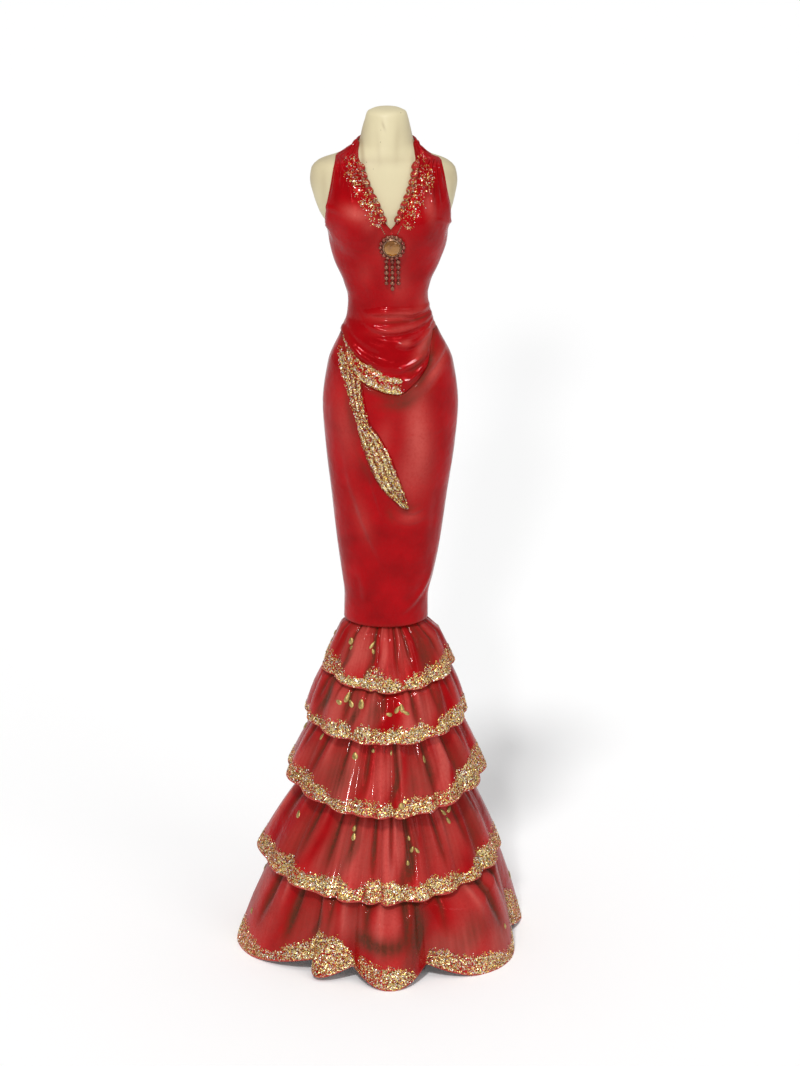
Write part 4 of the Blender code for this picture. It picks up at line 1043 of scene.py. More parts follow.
def gown_material():
    """Glossy red over a brown wash and painted shade, with dry pink paint and painted highlights, and glitter where
    the cloth says so.
    """
    paint = Paint("gown_paint", Coat_Roughness=0.05, Coat_IOR=1.5, Specular_Tint=(1.0, 0.06, 0.07, 1))
    # The paint shines less where it turns away, which keeps its edges red
    turned_away = paint.add("LayerWeight", Blend=0.5).outputs["Facing"]
    faced = paint.maths("SUBTRACT", 1.0, turned_away)
    paint.feed("Coat Weight", paint.times(faced, GOWN_COAT))
    paint.feed("Specular IOR Level", paint.times(faced, GOWN_GLOSS))
    wash, blush, glitter = (paint.mesh_value(name) for name in ("wash", "blush", "glitter"))
    fine = paint.noise(900.0, 5.0, 0.7)
    red = paint.mix(paint.scaled(paint.noise(90.0, 4.0), 1.6, -0.45, True), DEEP_RED, RED)
    pink_and_highlight_share = paint.times(blush, paint.scaled(fine, 1.3, 0.3, True), True)
    brown = paint.times(wash, paint.scaled(fine, 1.5, 0.2, True), True)
    red = paint.mix(brown, paint.mix(pink_and_highlight_share, red, PINK_AND_HIGHLIGHT), WASH_AND_SHADE)
    cells = paint.cells(1 / GRAIN).outputs["Color"]
    chance = paint.add("SeparateColor", _0=cells)
    ragged = paint.scaled(paint.noise(700.0, 2.0), 0.7, -0.35)
    reach = paint.maths("ADD", glitter, paint.times(ragged, paint.maths("GREATER_THAN", glitter, 0.02)))
    shown = paint.maths("GREATER_THAN", reach, paint.scaled(chance.outputs[0], 1.1, 0.05))
    paint.feed("Base Color", paint.mix(shown, red, paint.tones(chance.outputs[1])))
    paint.feed("Metallic", paint.times(shown, 0.85))
    rough = paint.scaled(brown, 0.15, paint.scaled(pink_and_highlight_share, 0.25, 0.17))
    paint.feed("Roughness", paint.add("Mix", {"data_type": "FLOAT"}, _0=shown, _2=rough, _3=0.34).outputs[0])
    slow = paint.bump(paint.noise(170.0, 2.0), 0.35, 0.0012)
    skin = paint.bump(fine, 0.25, 0.0002, Normal=slow)
    tilt = paint.add("VectorMath", {"operation": "SUBTRACT"}, _0=cells, _1=(0.5, 0.5, 0.5)).outputs[0]
    tilt = paint.add("VectorMath", {"operation": "SCALE"}, _0=tilt, Scale=paint.times(shown, 1.5)).outputs[0]
    turned = paint.add("VectorMath", {"operation": "ADD"}, _0=skin, _1=tilt).outputs[0]
    paint.feed("Normal", paint.add("VectorMath", {"operation": "NORMALIZE"}, _0=turned).outputs[0])


def flake_material():
    paint = Paint("glitter_flakes", Metallic=0.8, Roughness=0.32)
    paint.feed("Base Color", paint.tones(paint.mesh_value("tone")))


def cream_material():
    """Aged cream paint with brown stains and painted shade where the mesh says so, small specks and a satin finish."""
    paint = Paint("form_cream", Coat_Weight=0.1, Coat_Roughness=0.3)
    broad = paint.noise(45.0, 4.0)
    stain_and_shade = paint.times(paint.mesh_value("wash"), paint.scaled(broad, 1.6, 0.0, True), True)
    tone = paint.times(paint.scaled(broad, 0.9, -0.32, True), 0.35)
    base = paint.mix(paint.maths("ADD", tone, stain_and_shade, clamped=True), CREAM, CREAM_SHADE)
    dots = paint.cells(420.0)
    picked = paint.add("SeparateColor", _0=dots.outputs["Color"]).outputs[0]
    near = paint.maths("LESS_THAN", dots.outputs["Distance"], 0.09)
    speck = paint.times(near, paint.maths("GREATER_THAN", picked, 0.86))
    paint.feed("Base Color", paint.mix(paint.times(speck, 0.75), base, SPECK))
    paint.feed("Roughness", paint.scaled(broad, 0.25, 0.38))
    paint.feed("Normal", paint.bump(paint.noise(650.0, 4.0), 0.2, 0.0002))


def worn_metal(name, base, worn, roughness, wear, metallic):
    paint = Paint(name, Metallic=metallic)
    patches = paint.noise(700.0, 4.0, 0.65)
    paint.feed("Base Color", paint.mix(paint.scaled(patches, 2.4, wear - 1.2, True), base, worn))
    paint.feed("Roughness", paint.scaled(patches, 0.3, roughness - 0.15))
    paint.feed("Normal", paint.bump(patches, 0.5, 0.0001))


def stone_material():
    """Foiled amber glass: bright at its lower edge, where light comes back through it."""
    paint = Paint("amber", Metallic=0.35, Roughness=0.14, Coat_Weight=1.0, Coat_Roughness=0.03)
    height = paint.add("SeparateXYZ", _0=paint.where).outputs[2]
    low = paint.times(paint.scaled(height, -190.0, 52.0, True), 0.6)
    cloudy = paint.scaled(paint.noise(500.0, 2.0), 0.5, -0.2)
    paint.feed("Base Color", paint.mix(paint.maths("ADD", low, cloudy, clamped=True), AMBER_DARK, AMBER))


def floor_material():
    paint = Paint("floor_paint", Roughness=0.9)
    paint.feed("Base Color", paint.mix(paint.scaled(paint.noise(3.0, 2.0), 0.02, 0.99), FLOOR_LOW, FLOOR))


# Pieces


def form():
    """The dress form, finer than its solid, with worn edges at the neck's top."""
    body = np.linspace(FORM_LOW_Z, SHOULDERS_Z, BODY_ROWS)
    neck = np.linspace(SHOULDERS_Z + 0.6, NECK_TOP_Z, NECK_ROWS)
    phi, z = np.meshgrid(np.arange(FORM_SIDES) * 2 * math.pi / FORM_SIDES, np.concatenate([body, neck]))
    points = form_point(phi, z)
    ids, quads = grid_faces(*z.shape, True)
    top = points[-1].mean(axis=0) + (0, 0, 0.25)
    inner = lerp(points[-1], top, 0.5)
    inner[:, 2] = top[2] - 0.05
    count, columns = z.size, z.shape[1]
    within = count + np.arange(columns + 1) % columns
    shoulder = np.stack([ids[-1, :-1], ids[-1, 1:], within[1:], within[:-1]], axis=-1)
    cap = np.stack([within[:-1], within[1:], np.full(columns, count + columns)], axis=-1)
    faces = quads.tolist() + shoulder.tolist() + cap.tolist() + [ids[0, -2::-1].tolist()]
    # Painted shade at the sides of the neck and shoulders and at the neck's base in front, with stains and painted
    # shade from the table
    aside = np.abs(np.sin(phi)) ** 4 * smoothstep((z - 286) / 10) * smoothstep((318 - z) / 6)
    under = smoothstep((305.5 - z) / 4) * smoothstep((z - 299) / 4) * smoothstep(np.cos(phi) * 2)
    stains_and_shade = soft_spots(FORM_STAINS_AND_SHADE, points[..., 0], z) * (0.6 + 0.4 * np.cos(phi))
    wash = np.concatenate([(0.5 * aside + 0.3 * under + stains_and_shade).ravel(), np.zeros(columns + 1)])
    everything = np.concatenate([points.reshape(-1, 3), inner, [top]])
    placed(add_mesh("form", everything, faces, "form_cream", {"wash": wash}), "form", "form_torso")


def near_edges(grid, reach):
    """How near each point of a grid is to its first and last columns: 1 at them, and 0 further in."""
    steps = np.linalg.norm(np.diff(grid, axis=1), axis=-1)
    from_first = np.concatenate([np.zeros((len(grid), 1)), np.cumsum(steps, axis=1)], axis=1)
    return bell(from_first / reach), bell((from_first[:, -1:] - from_first) / reach)


def near_shoulder(z, aside):
    """How near a point is to the shoulder seam's outer end: 1 at it."""
    return bell((z - SHOULDER_SEAM_Z) / SHOULDER_REACH) * smoothstep(aside)


def bodice_lining(phi, z):
    """The bodice's inner face, which lies a little deeper above the waist."""
    return bodice_face(phi, z, -WALL - LINING * (z > LINED_Z))


def underarm(phi, z):
    """How near a point is to the armhole's lowest corner: 1 at it."""
    return bell((z - ARMHOLE_Z) / 3.0) * smoothstep(10 * np.abs(np.sin(phi)) - 9)


def bodice_grid(side):
    """Angles, heights and shares across of one half of the bodice's front."""
    columns, low_rows, high_rows = 64, 62, 130
    share = np.linspace(0, 1, columns)[None, :]
    seam = SIDES[side] * math.pi / 2
    angles = lerp(edge_angle("neck_left", V_BOTTOM_Z), seam, share)
    low_z = lerp(drape_z(angles), HALF_JOIN_Z, np.linspace(0, 1, low_rows)[:, None])
    z = np.linspace(HALF_JOIN_Z, COLLAR_Z, high_rows)[1:, None]
    inner = edge_angle("neck_" + side, np.clip(z, V_BOTTOM_Z, SHOULDER_SEAM_Z))
    outer = np.where((z <= ARMHOLE_Z) | (z >= SHOULDER_SEAM_Z), seam, edge_angle("arm_" + side, z))
    over = clamp((z - SHOULDER_SEAM_Z) / (COLLAR_Z - SHOULDER_SEAM_Z))
    high_phi = lerp(lerp(inner, STRAP_TOP * SIDES[side], over), outer, share)
    phi = np.concatenate([np.broadcast_to(angles, low_z.shape), high_phi])
    z = np.concatenate([low_z, np.broadcast_to(z, high_phi.shape)])
    return phi, z, np.broadcast_to(share, phi.shape)


def bodice_glitter(side, x, z, edge):
    """How thick the glitter is on one half: beside the neckline, and in two bands along the drape."""
    near, far = (SIDES[side] * NECK_GLITTER.at(f"{side}_{part}", z) for part in ("inner", "outer"))
    out = SIDES[side] * x
    inside = smoothstep((out - near + 0.8) / 1.2) * smoothstep((far - out + 0.8) / 2.2)
    thick = 0.6 + 0.5 * ripple((x, 0.9), (z, 0.7))
    neck = NECK_GLITTER_AMOUNT * inside * thick * (z > NECK_GLITTER_LOW_Z) * (z < NECK_GLITTER_HIGH_Z)
    reach = DRAPE_GLITTER.at("top", x) + 0.5 * ripple((x, 1.7), (z, 1.3))
    below = smoothstep((reach - z) / 1.1) * (z < DRAPE_GLITTER_HIGH_Z) * (x > DRAPE_GLITTER_LEFT)
    below = below * smoothstep((DRAPE_GLITTER_RIGHT - x + 1.2 * ripple((z, 1.1))) / 3.4)
    rise = clamp((z - edge) / np.maximum(reach - edge, 1.0))
    banded = 0.3 + 0.72 * np.cos(math.pi * rise) ** 2
    return neck + below * (banded + 0.15 * ripple((x, 0.8), (z, 0.9)))


def bodice_front():
    halves = []
    for side in SIDES:
        phi, z, share = bodice_grid(side)
        raised = crease_height(BODICE_CREASES, section_point(SHEATH, phi, z)[..., 0], z)
        for gather in GATHERS[side]:
            down = smoothstep((z - gather["low_z"]) / GATHER_RUN) * smoothstep((GATHER_END_Z - z) / 2.0)
            away = (share - gather["share"]) / gather["width"]
            raised = raised + gather["height"] * down * (bell(away) - GATHER_SUNK)
        neck_near, arm_near = near_edges(form_point(phi, z), EDGE_REACH)
        neck_near = neck_near * (z > V_BOTTOM_Z - 0.5)
        arm_near = arm_near * ((z > ARMHOLE_Z) & (z < SHOULDER_SEAM_Z))
        shoulder = near_shoulder(z, (share - 0.3) / 0.6)
        lowered = EDGE_DROP * (neck_near + arm_near * (1 - shoulder)) + SHOULDER_DROP * shoulder
        lowered = lowered + UNDERARM_DROP * underarm(phi, z)
        outer = bodice_face(phi, z, 0.0, raised * (1 - SHOULDER_FLAT * shoulder) - lowered)
        x = outer[..., 0]
        # Brown wash and painted shade in patches, with painted shade along the neckline; dry pink and painted
        # highlights
        wash = soft_spots(BODICE_WASH_AND_SHADE, x, z) + 0.25 * neck_near
        glitter = bodice_glitter(side, x, z, drape_z(phi))
        values = {"wash": wash, "blush": soft_spots(BODICE_PINK_AND_HIGHLIGHT, x, z), "glitter": glitter}
        halves.append((outer, bodice_lining(phi, z), values))
    below_v = int((z[:, 0] <= V_BOTTOM_Z).sum())
    cloth = sewn("bodice_front_cloth", [sheet_parts(*half, welded=below_v) for half in halves])
    placed(cloth, "gown", "bodice_front")
    sheets = [(outer, clamp(values["glitter"])) for outer, _, values in halves]
    sprinkle("bodice_glitter", sheets, thick=8.0, size=SMALL_FLAKE, paler=1.3)


def back_sheet(name, columns, rows, low, high):
    """A back piece between two heights by angle, from one side seam round to the other."""
    angles = np.linspace(math.pi / 2, 1.5 * math.pi, columns)[None, :]
    low, high = low(angles), high(angles)
    z = lerp(low, high, np.linspace(0, 1, rows)[:, None])
    phi = np.broadcast_to(angles, z.shape)
    raised = crease_height(BACK_BODICE_CREASES, form_point(phi, z)[..., 0], z)
    lowered = BACK_DROP
    if name == "halter_back":
        raised = raised + 0.25 * np.sin((z - 301.0) * 3.1 + 1.3 * np.cos(2 * phi))
        shoulder = near_shoulder(z, (np.abs(np.sin(phi)) - 0.55) / 0.4)
        lowered = lerp(BACK_DROP, SHOULDER_DROP, shoulder)
        raised = raised * (1 - SHOULDER_FLAT * shoulder)
    outer = bodice_face(phi, z, 0.0, raised - lowered - UNDERARM_DROP * underarm(phi, z))
    # Painted shade along the upper edge and in the grooves; dry pink and painted highlight in random patches
    wash = 0.3 * bell(z - high) + 0.8 * clamp(-raised)
    blush = 0.45 * smoothstep(ripple((phi, 3.0), (z, 0.15)))
    glitter = 0.9 * smoothstep((4.5 + 1.5 * ripple((phi, 9.0)) - (z - low)) / 2.0) * (z < 262)
    placed(shell(name + "_cloth", outer, bodice_lining(phi, z), wash, blush, glitter), "gown", name)
    return outer, glitter


def low_back_z(phi):
    return lerp(ARMHOLE_Z, LOW_BACK_Z, smoothstep(-1.25 * np.cos(phi)))


def halter_low_z(phi):
    """The halter's lower edge behind: it arches close to the neck just past the shoulders."""
    behind = clamp(-np.cos(phi))
    arch = HALTER_ARCH * np.sin(math.pi * clamp(behind / 0.85))
    return SHOULDER_SEAM_Z + arch - (SHOULDER_SEAM_Z - HALTER_LOW_Z) * smoothstep(2 * behind - 1)


def halter_top_z(phi):
    return COLLAR_Z + 0 * phi


def sheath_panel(name, start, end, columns):
    angles = np.linspace(start, end, columns)[None, :]
    edge = drape_z(angles)
    tuck = lerp(edge + DRAPE_TUCK, edge - TUCK_RUN, np.linspace(0, 1, TUCK_ROWS)[:, None])
    drop = lerp(edge - TUCK_RUN, SHEATH_HEM_Z, np.linspace(0, 1, DROP_ROWS)[1:, None])
    z = np.concatenate([tuck, drop])
    phi = np.broadcast_to(angles, z.shape)
    outer = sheath_face(phi, z)
    x = outer[..., 0]
    ahead = facing_front(phi)
    # Brown wash and painted shade in patches, painted shade at the hem and just under the drape's edge; dry pink and
    # painted highlights in patches, mirrored behind
    wash = lerp(soft_spots(SHEATH_WASH_AND_SHADE, -x, z + 4), soft_spots(SHEATH_WASH_AND_SHADE, x, z), ahead)
    wash = wash + 0.2 * bell((z - SHEATH_HEM_Z) / 0.8) + 0.5 * bell((z - edge + 1.0) / 1.6)
    blush = lerp(soft_spots(SHEATH_PINK_AND_HIGHLIGHT, -x, z - 6), soft_spots(SHEATH_PINK_AND_HIGHLIGHT, x, z), ahead)
    scattered = 0.75 + 0.35 * ripple((x, 1.5), (z, 1.1))
    glitter = smoothstep((soft_spots(SHEATH_GLITTER, x, z) - 0.25) / 0.5) * scattered * ahead
    cloth = shell(name + "_cloth", outer, sheath_face(phi, z, -WALL), wash, blush, glitter)
    placed(cloth, "gown", name)
    return outer, glitter


def sash():
    """The folded end of the drape: lengthwise folds that gather under the roll and open to a tip."""
    share = np.linspace(0, 1, SASH_COLUMNS)[None, :]
    z = np.linspace(SASH_TOP_Z, SASH_TIP_Z, SASH_ROWS)[:, None]
    x = lerp(SASH.at("left", z), SASH.at("right", z), share)
    phi = angle_at(SHEATH, x, z)
    near_drape = clamp((z - SASH_FREE_Z) / (SASH_TOP_Z - SASH_FREE_Z))
    level = z + near_drape * (drape_z(phi) - 0.2 - SASH_TOP_Z)
    wander = 0.35 * np.sin((z - 200) / 9.0) + 0.2 * np.sin((z - 180) / 4.1)
    folds = np.abs(np.sin(math.pi * (SASH_FOLDS * share + wander))) ** 0.7
    crown = np.sqrt(clamp(1 - (2 * share - 1) ** 2))
    fold = SASH_FOLD_RISE * folds * (0.4 + 0.6 * crown) + 0.6 * crown
    outer = sheath_face(phi, level, 0.3 + fold, False)
    inner = sheath_face(phi, level, -0.3, False)
    rim = np.minimum(share, 1 - share) + 0.05 * ripple((z, 2.3), (x, 1.9))
    glitter = smoothstep(rim / 0.11) * (0.25 + 0.75 * folds) + 0.18 * ripple((z, 0.7), (x, 1.4))
    glitter = clamp(glitter * lerp(0.9, 0.7, smoothstep((z - 203) / 6)))
    # Painted shade in the folds' valleys
    placed(shell("sash_cloth", outer, inner, 0.95 * (1 - folds), 0.0, glitter), "glitter", "sash")
    sprinkle("sash_glitter", [(outer, glitter**1.5)], thick=8.0, size=SASH_FLAKE, paler=1.12)


def folds_round(number, count):
    """All of a ruffle's folds: those in front, then an uneven row behind."""
    folds = list(FOLDS[number])
    last = folds[-1][0]
    span = folds[0][0] + 360 - last
    for k in range(1, count + 1):
        place = k + 0.16 * math.sin(2.4 * k + number)
        crest = 0.85 + 0.2 * math.sin(3.7 * k + 2 * number)
        lean = 0.5 + 0.12 * math.sin(2.9 * k + number)
        level = 0.15 * (1 + math.sin(4.3 * k + number))
        folds.append((last + span * place / (count + 1), level, crest, lean))
    return folds


def creases_round(number, count):
    """All of a ruffle's small gathers: those in front, then more of the same kind behind."""
    creases = list(RUFFLE_CREASES[number])
    last = creases[-1][0]
    span = creases[0][0] + 360 - last
    for k in range(1, count + 1):
        angle = last + span * (k + 0.25 * math.sin(3.1 * k + number)) / (count + 1)
        run = 0.7 + 0.2 * math.sin(2.3 * k + 1)
        width = 2.2 + 0.5 * math.sin(1.9 * k)
        depth = -0.45 if k % 4 == 2 else 0.55 + 0.15 * math.sin(4.1 * k)
        creases.append((angle, run, width, depth, 4 * math.sin(1.3 * k + number)))
    return creases


class Ruffle:
    """One gathered ring: its outer face as a radius from the axis by angle and height."""

    def __init__(self, number, size, above):
        self.number = number
        self.above = above
        self.__dict__.update(size)
        folds = folds_round(number, self.behind)
        self.lows = np.radians([fold[0] for fold in folds] + [folds[0][0] + 360])
        self.levels = np.array([fold[1] for fold in folds] + [folds[0][1]])
        self.crests = np.array([fold[2] for fold in folds])
        self.leans = math.log(0.5) / np.log([fold[3] for fold in folds])

    def wave(self, phi, down=1.0):
        """How far out the cloth is, from 0 in the deepest valley to about 1 on a crest."""
        turned = (phi - self.lows[0]) % (2 * math.pi) + self.lows[0]
        fold = np.clip(np.searchsorted(self.lows, turned, side="right") - 1, 0, len(self.crests) - 1)
        across = clamp((turned - self.lows[fold]) / (self.lows[fold + 1] - self.lows[fold]))
        across = across ** self.leans[fold]
        base = lerp(self.levels[fold], self.levels[fold + 1], across)
        roundness = lerp(ROUNDNESS_HIGH, self.roundness, down)
        return lerp(base, self.crests[fold], np.sin(math.pi * across) ** roundness)

    def crest_hem_z(self, phi):
        return self.hem - self.dip * np.maximum(0.0, np.cos(phi)) ** DIP_ROUNDNESS

    def hem_z(self, phi):
        return self.crest_hem_z(phi) + self.lift * np.maximum(0.0, 1 - self.wave(phi))

    def crest_radius(self, phi, z):
        level = self.crest_hem_z(phi)
        up = clamp((z - level) / (self.top - level))
        radius = self.half - self.flare * (z - level) + self.bulge * np.sin(math.pi * up)
        depth = np.where(np.cos(phi) > 0, self.front, self.back)
        aside = self.centre * (1 - up) * np.sin(phi)
        return radius * (1 - (1 - depth) * np.cos(phi) ** 2) + aside

    def limit(self, phi, z):
        """How far out the ruffle above lets this one come."""
        hem = self.above.hem_z(phi)
        held = self.above.radius(phi, np.maximum(z, hem), valley=True) - RUFFLE_REACH - GAP
        return held + RELEASE * np.maximum(0.0, hem - z)

    def radius(self, phi, z, valley=False):
        down = clamp((self.top - z) / (self.top - self.hem))
        wave = 0.0 if valley else self.wave(phi, down)
        own = self.crest_radius(phi, z) - self.depth * lerp(GATHERED, 1.0, down) * (1 - wave)
        limit = self.limit(phi, z)
        return lerp(limit, np.minimum(own, limit), smoothstep((self.top - z) / TOP_BLEND))

    def shown(self, phi, z):
        """How far down a point is, from 0 at the hem above to 1 at this one."""
        top = self.above.hem_z(phi)
        return (top - z) / (top - self.hem_z(phi))

    def creased(self, phi, down):
        """How deep the small gathers are."""
        deep = np.zeros(np.broadcast(phi, down).shape)
        for angle, run, width, depth, drift in creases_round(self.number, self.hidden):
            wander = 0.5 * np.sin(3.0 * down + angle) + drift * down
            away = (np.degrees(phi) - angle - wander + 180) % 360 - 180
            fade = smoothstep((run - down) / 0.6)
            sharp = np.exp(-((np.abs(away) / (width * (0.6 + 0.9 * down))) ** 1.35))
            deep += self.gather * depth * fade * sharp
        return deep

    def face(self, phi, z):
        """Points of the outer face, with how deep its gathers are there."""
        down = self.shown(phi, z)
        deep = self.creased(phi, clamp(down))
        radius = self.radius(phi, z) - deep * smoothstep((down + 0.2) / 0.3)
        return np.stack([radius * np.sin(phi), -radius * np.cos(phi), z + 0 * phi], axis=-1), deep


class SheathHem:
    """The sheath's hem, which hides the first ruffle's top."""

    def hem_z(self, phi):
        return SHEATH_HEM_Z + 0 * phi

    def radius(self, phi, z, valley=True):
        half, centre, depth = (SHEATH.at(name, z) for name in ("half", "centre", "front"))
        oval = half * depth / np.hypot(depth * np.sin(phi), half * np.cos(phi))
        return oval + centre * np.sin(phi) - SHEATH_SLACK


def ruffle_cloth(ruffle):
    number = ruffle.number
    phi = (np.arange(ruffle.sides) * 2 * math.pi / ruffle.sides - math.pi)[None, :]
    above = ruffle.above.hem_z(phi)
    hidden = lerp(ruffle.top, above, np.linspace(0, 1, 5)[:-1, None])
    shown = lerp(above, ruffle.hem_z(phi), np.linspace(0, 1, ruffle.rows)[:, None])
    z = np.concatenate([hidden, shown])
    phi = np.broadcast_to(phi, z.shape)
    outer, deep = ruffle.face(phi, z)
    down = ruffle.shown(phi, z)
    clear = clamp(down)
    wave = ruffle.wave(phi, clear)
    degrees = np.degrees(phi)
    rag = 0.7 * ripple((phi, 17.0), (z, 0.6)) + 0.3 * ripple((phi, 43.0))
    up = z - ruffle.hem_z(phi)
    band = smoothstep((BANDS[number].at("high", degrees) + rag - up) / 2.6) * smoothstep((up - 0.1) / 0.5)
    patchy = 0.74 + 0.32 * ripple((phi, 7.3), (z, 0.35)) + 0.16 * ripple((phi, 29.0), (z, 1.1))
    glitter = clamp(band * patchy)
    streaks = 0.5 + 0.5 * ripple((degrees, 0.9), (degrees, 1.9), (z, 0.2))
    # Brown wash and painted shade in the valleys and gathers, and a painted shadow just under the hem above; painted
    # highlights on the crests, on pinched ridges and along the hem's edge
    wash = 0.4 * clamp(1 - wave) ** 1.6 * lerp(1.1, 0.4, clear) + 0.95 * clamp(deep)
    wash = wash + (0.6 if number else 0.2) * bell(clear / 0.08) - 0.1
    blush = np.clip(-1.2 * deep, 0, 0.8) + 0.8 * bell(up / 0.35) + 0.35 * smoothstep(2.4 * wave - 1.5)
    for patch in RUFFLE_PAINT:
        if patch["ruffle"] != number:
            continue
        for angle in (patch["angle"], 180 - 0.9 * patch["angle"]):
            away = ((degrees - angle - 4 * np.sin(5 * down) + 180) % 360 - 180) / patch["wide"]
            spread = np.exp(-(away**4) - ((down - patch["down"]) / patch["high"]) ** 2)
            blush = blush + patch["blush"] * spread * (0.55 + 0.7 * streaks)
            wash = wash + patch["wash"] * spread * (1.2 - 0.6 * streaks)
    blush = clamp(blush * (1 - 0.8 * clamp(deep * 2)))
    name = f"ruffle_{number + 1}"
    placed(shell(name + "_cloth", outer, level_wall(outer), clamp(wash), blush, glitter, True), "gown", name)
    sprinkle(name + "_glitter", [(outer, glitter**1.3)], thick=4.6, closed=True, ahead=False)


def petals(ruffles):
    """Gold dabs that lie on the ruffles, in front and behind."""
    rows = list(PETALS)
    for number, ruffle in enumerate(ruffles):
        for k in range(PETALS_BEHIND):
            angle = 90 + 180 * (k + 0.5 + 0.2 * math.sin(2.7 * k + number)) / PETALS_BEHIND
            top, hem = (float(ring.hem_z(math.radians(angle))) for ring in (ruffle.above, ruffle))
            z = lerp(hem, top, 0.62 + 0.12 * math.sin(3.9 * k + number))
            for turn in range(1 + (k + number) % 3):
                row = (number, angle + 5 * turn, z - 1.2 * (turn % 2), 3.2, 2.0, 35 * turn - 25)
                rows.append(dict(zip(PETALS.names, row)))
    parts = []
    for petal in rows:
        ruffle = ruffles[petal["ruffle"]]
        phi, z = np.array(math.radians(petal["angle"])), np.array(float(petal["z"]))
        round_it = unit(ruffle.face(phi + 0.03, z)[0] - ruffle.face(phi - 0.03, z)[0])
        up_it = unit(ruffle.face(phi, z + 0.8)[0] - ruffle.face(phi, z - 0.8)[0])
        facing = unit(np.cross(round_it, up_it))
        turn = math.radians(petal["lean"])
        across = round_it * math.cos(turn) + up_it * math.sin(turn)
        up = up_it * math.cos(turn) - round_it * math.sin(turn)
        parts.append(dome(across, up, facing, ruffle.face(phi, z)[0], petal["width"], petal["length"]))
    placed(joined("petals", parts, "petal_gold"), "glitter")


def neck_trim(side):
    """A scalloped edging of small ribbed shells along one side of the V."""
    along = np.linspace(0, 1, TRIM_LOBES * LOBE_STEPS + 1)[:, None]
    z = lerp(TRIM_LOW_Z, TRIM_HIGH_Z, along)
    lobe = np.abs(np.sin(math.pi * TRIM_LOBES * along))
    share = np.linspace(0, 1, TRIM_COLUMNS)[None, :]
    aside = lerp(TRIM_WIDTH + 0.35 * lobe, -0.05 - TRIM_REACH * lobe**0.6, share)
    phi = angle_at(FORM, EDGES.at("neck_" + side, z) + SIDES[side] * aside, z)
    height = np.broadcast_to(z, phi.shape)
    rib = 0.5 + 0.5 * np.cos(2 * math.pi * 3 * TRIM_LOBES * along)
    body = np.sin(math.pi * clamp(0.12 + 0.8 * share)) * (0.45 + 0.55 * lobe)
    outer = moved_out(form_point, phi, height, ON_FORM + GAP + (0.22 + 0.28 * rib) * body)
    inner = moved_out(form_point, phi, height, 0.25)
    # Painted shade in the dips between the scallops and between the ribs
    wash = clamp(0.35 * (1 - lobe) ** 1.5 + 0.3 * (1 - rib) * share)
    name = "neck_trim_" + side
    placed(shell(name + "_lace", outer, inner, wash, 0.3, 0.3 + 0.25 * ripple((z, 1.9))), "gown", name)
    return outer


def brooch():
    """The round brooch, its ring of beads, its stone, and three strands of beads that hang from it."""
    centre = on_bodice(BROOCH_X, BROOCH_Z)
    phi, z = angle_at(FORM, np.array(BROOCH_X), np.array(BROOCH_Z)), np.array(BROOCH_Z)
    outward = unit(bodice_face(phi, z, WALL) - centre)
    right = unit(np.cross(outward, (0, 0, -1)))
    up = np.cross(outward, right)

    def circle(middle, radius, sides, shift=0.0):
        turns = [2 * math.pi * (k + shift) / sides for k in range(sides)]
        return [middle + radius * (math.cos(t) * right + math.sin(t) * up) for t in turns]

    rim = circle(centre, BROOCH_RADIUS, 32)
    lift = max(0.0, *(float(np.dot(on_bodice(near[0], near[2]) - centre, outward)) for near in rim))
    seat = centre + outward * lift

    def turned(name, profile, sides, top, finish):
        rings = [circle(seat + outward * out, radius, sides, shift) for radius, out, shift in profile]
        return joined(name, [stacked(rings, seat + outward * profile[0][1], seat + outward * top)], finish)

    placed(turned("brooch_setting", PLATE_RINGS, PLATE_SIDES, PLATE_TOP, "bronze"), "brooch", "brooch_plate")
    stone = turned("brooch_gem", STONE_RINGS, STONE_SIDES, STONE_TOP, "amber")
    stone.data.shade_flat()
    placed(stone, "stone", "brooch_stone")
    middles = circle(seat + outward * RING_OUT, RING_RADIUS, RING_BEADS)
    beads = [ball(middle, RING_BEAD, *FINE_BALL) for middle in middles]
    placed(joined("brooch_beads", beads, "bead_rose"), "brooch")
    strands = []
    for strand in (-1, 0, 1):
        rows = PENDANT_ROWS + (strand == 0)
        for k in range(rows):
            on = on_bodice(BROOCH_X + strand * PENDANT_PITCH, PENDANT_TOP_Z - PENDANT_DROP * k)
            radius = PENDANT_BEAD * (0.92 + 0.1 * math.sin(5.0 * k + 2 * strand))
            place = on + np.array((0, -radius * 0.75, 0))
            last = strand == 0 and k == rows - 1
            size, stretch = (0.85, 1.5) if last else (1, 1)
            strands.append(ball(place, radius * size, *FINE_BALL, stretch))
            if k:
                strands.append(ball(place + np.array((0, 0.15, PENDANT_DROP / 2)), PENDANT_LINK, *SMALL_BALL))
    placed(joined("pendant_beads", strands, "bead_rose"), "brooch")


def trim_studs(trims):
    """Bronze studs in the dips between the scallops, and the two bars below them."""
    parts = []
    sunk = np.array((0, 0.05, 0))
    for side, trim in trims.items():
        for k in TRIM_STUDS[side]:
            radius = STUD + STUD_CHANGE * math.sin(3 * k + SIDES[side])
            parts.append(ball(trim[k * LOBE_STEPS, STUD_COLUMN] + sunk, radius, stretch=1.25))
        for t in np.linspace(0, 1, 5):
            on = on_bodice(1.3 + SIDES[side] * lerp(2.4, 3.9, t), lerp(277.0, 279.6, t))
            parts.append(ball(on + sunk, BAR_BEAD, *SMALL_BALL))
    placed(joined("trim_studs", parts, "bronze"), "brooch")


# Floor, light and camera


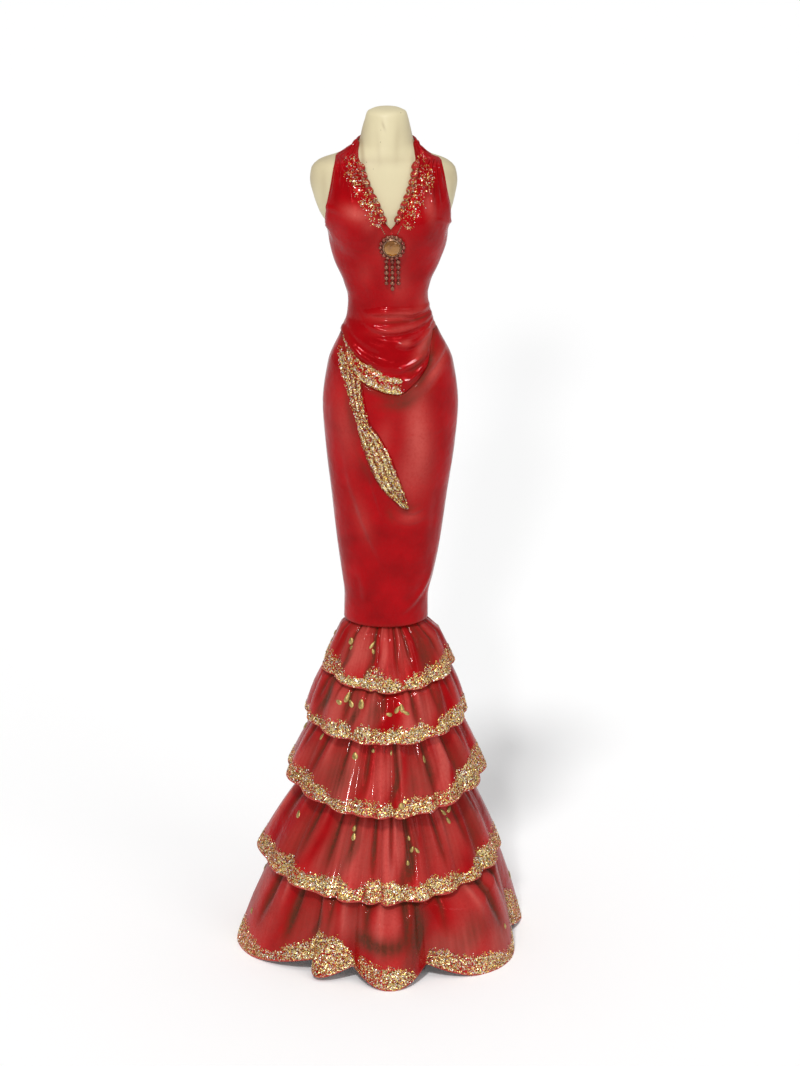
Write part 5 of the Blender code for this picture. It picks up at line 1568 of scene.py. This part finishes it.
def studio():
    half = FLOOR_HALF
    corners = [(-half, -half, 0), (half, -half, 0), (half, half, 0), (-half, half, 0)]
    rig.stage(add_mesh("floor", corners, [(0, 1, 2, 3)], "floor_paint"))
    world = bpy.data.worlds.new("studio")
    bpy.context.scene.world = world
    world.use_nodes = True
    background = world.node_tree.nodes["Background"]
    background.inputs["Color"].default_value = (1.0, 1.0, 1.0, 1)
    background.inputs["Strength"].default_value = WORLD_STRENGTH
    # Distant soft lights, so that the floor is lit alike all over
    for light in LIGHTS:
        data = bpy.data.lights.new(light["name"], "SUN")
        data.angle = math.radians(light["wide"])
        data.energy = light["strength"]
        made = bpy.data.objects.new(light["name"], data)
        bpy.context.scene.collection.objects.link(made)
        made.rotation_euler = (math.radians(90 - light["up"]), 0, math.radians(light["round"]))
    data = bpy.data.cameras.new("camera")
    data.lens = LENS
    data.clip_end = 50.0
    camera = bpy.data.objects.new("camera", data)
    bpy.context.scene.collection.objects.link(camera)
    camera.location = [c * MM for c in CAMERA]
    camera.rotation_euler = (math.radians(CAMERA_TURN), 0, 0)
    bpy.context.scene.camera = camera
    bpy.context.scene.view_settings.view_transform = "Standard"


# The whole


def main():
    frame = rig.load()
    sizes = {"cad": [list(corner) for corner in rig.bounds()]}
    for make in (gown_material, cream_material, flake_material, stone_material, floor_material):
        make()
    for row in WORN_METALS:
        worn_metal(*row)
    frame["nodes"]["form_stand"].data.materials[0] = bpy.data.materials["form_cream"]
    form()
    bodice_front()
    back, glitter = back_sheet("bodice_back", 100, 60, drape_z, low_back_z)
    sprinkle("back_glitter", [(back, clamp(glitter))], thick=5.0, ahead=False)
    back_sheet("halter_back", 90, 16, halter_low_z, halter_top_z)
    front, glitter = sheath_panel("sheath_front", -math.pi / 2, math.pi / 2, 120)
    sprinkle("sheath_glitter", [(front, clamp(glitter))], thick=7.0, size=SMALL_FLAKE)
    sheath_panel("sheath_back", math.pi / 2, 1.5 * math.pi, 90)
    sash()
    ruffles = []
    above = SheathHem()
    for number, size in enumerate(RUFFLES):
        above = Ruffle(number, size, above)
        ruffles.append(above)
        ruffle_cloth(above)
    petals(ruffles)
    trim_studs({side: neck_trim(side) for side in SIDES})
    brooch()
    studio()
    bpy.context.view_layer.update()
    sizes["visual"] = [list(corner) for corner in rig.bounds()]
    with open("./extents.json", "w") as kept:
        json.dump(sizes, kept)


main()
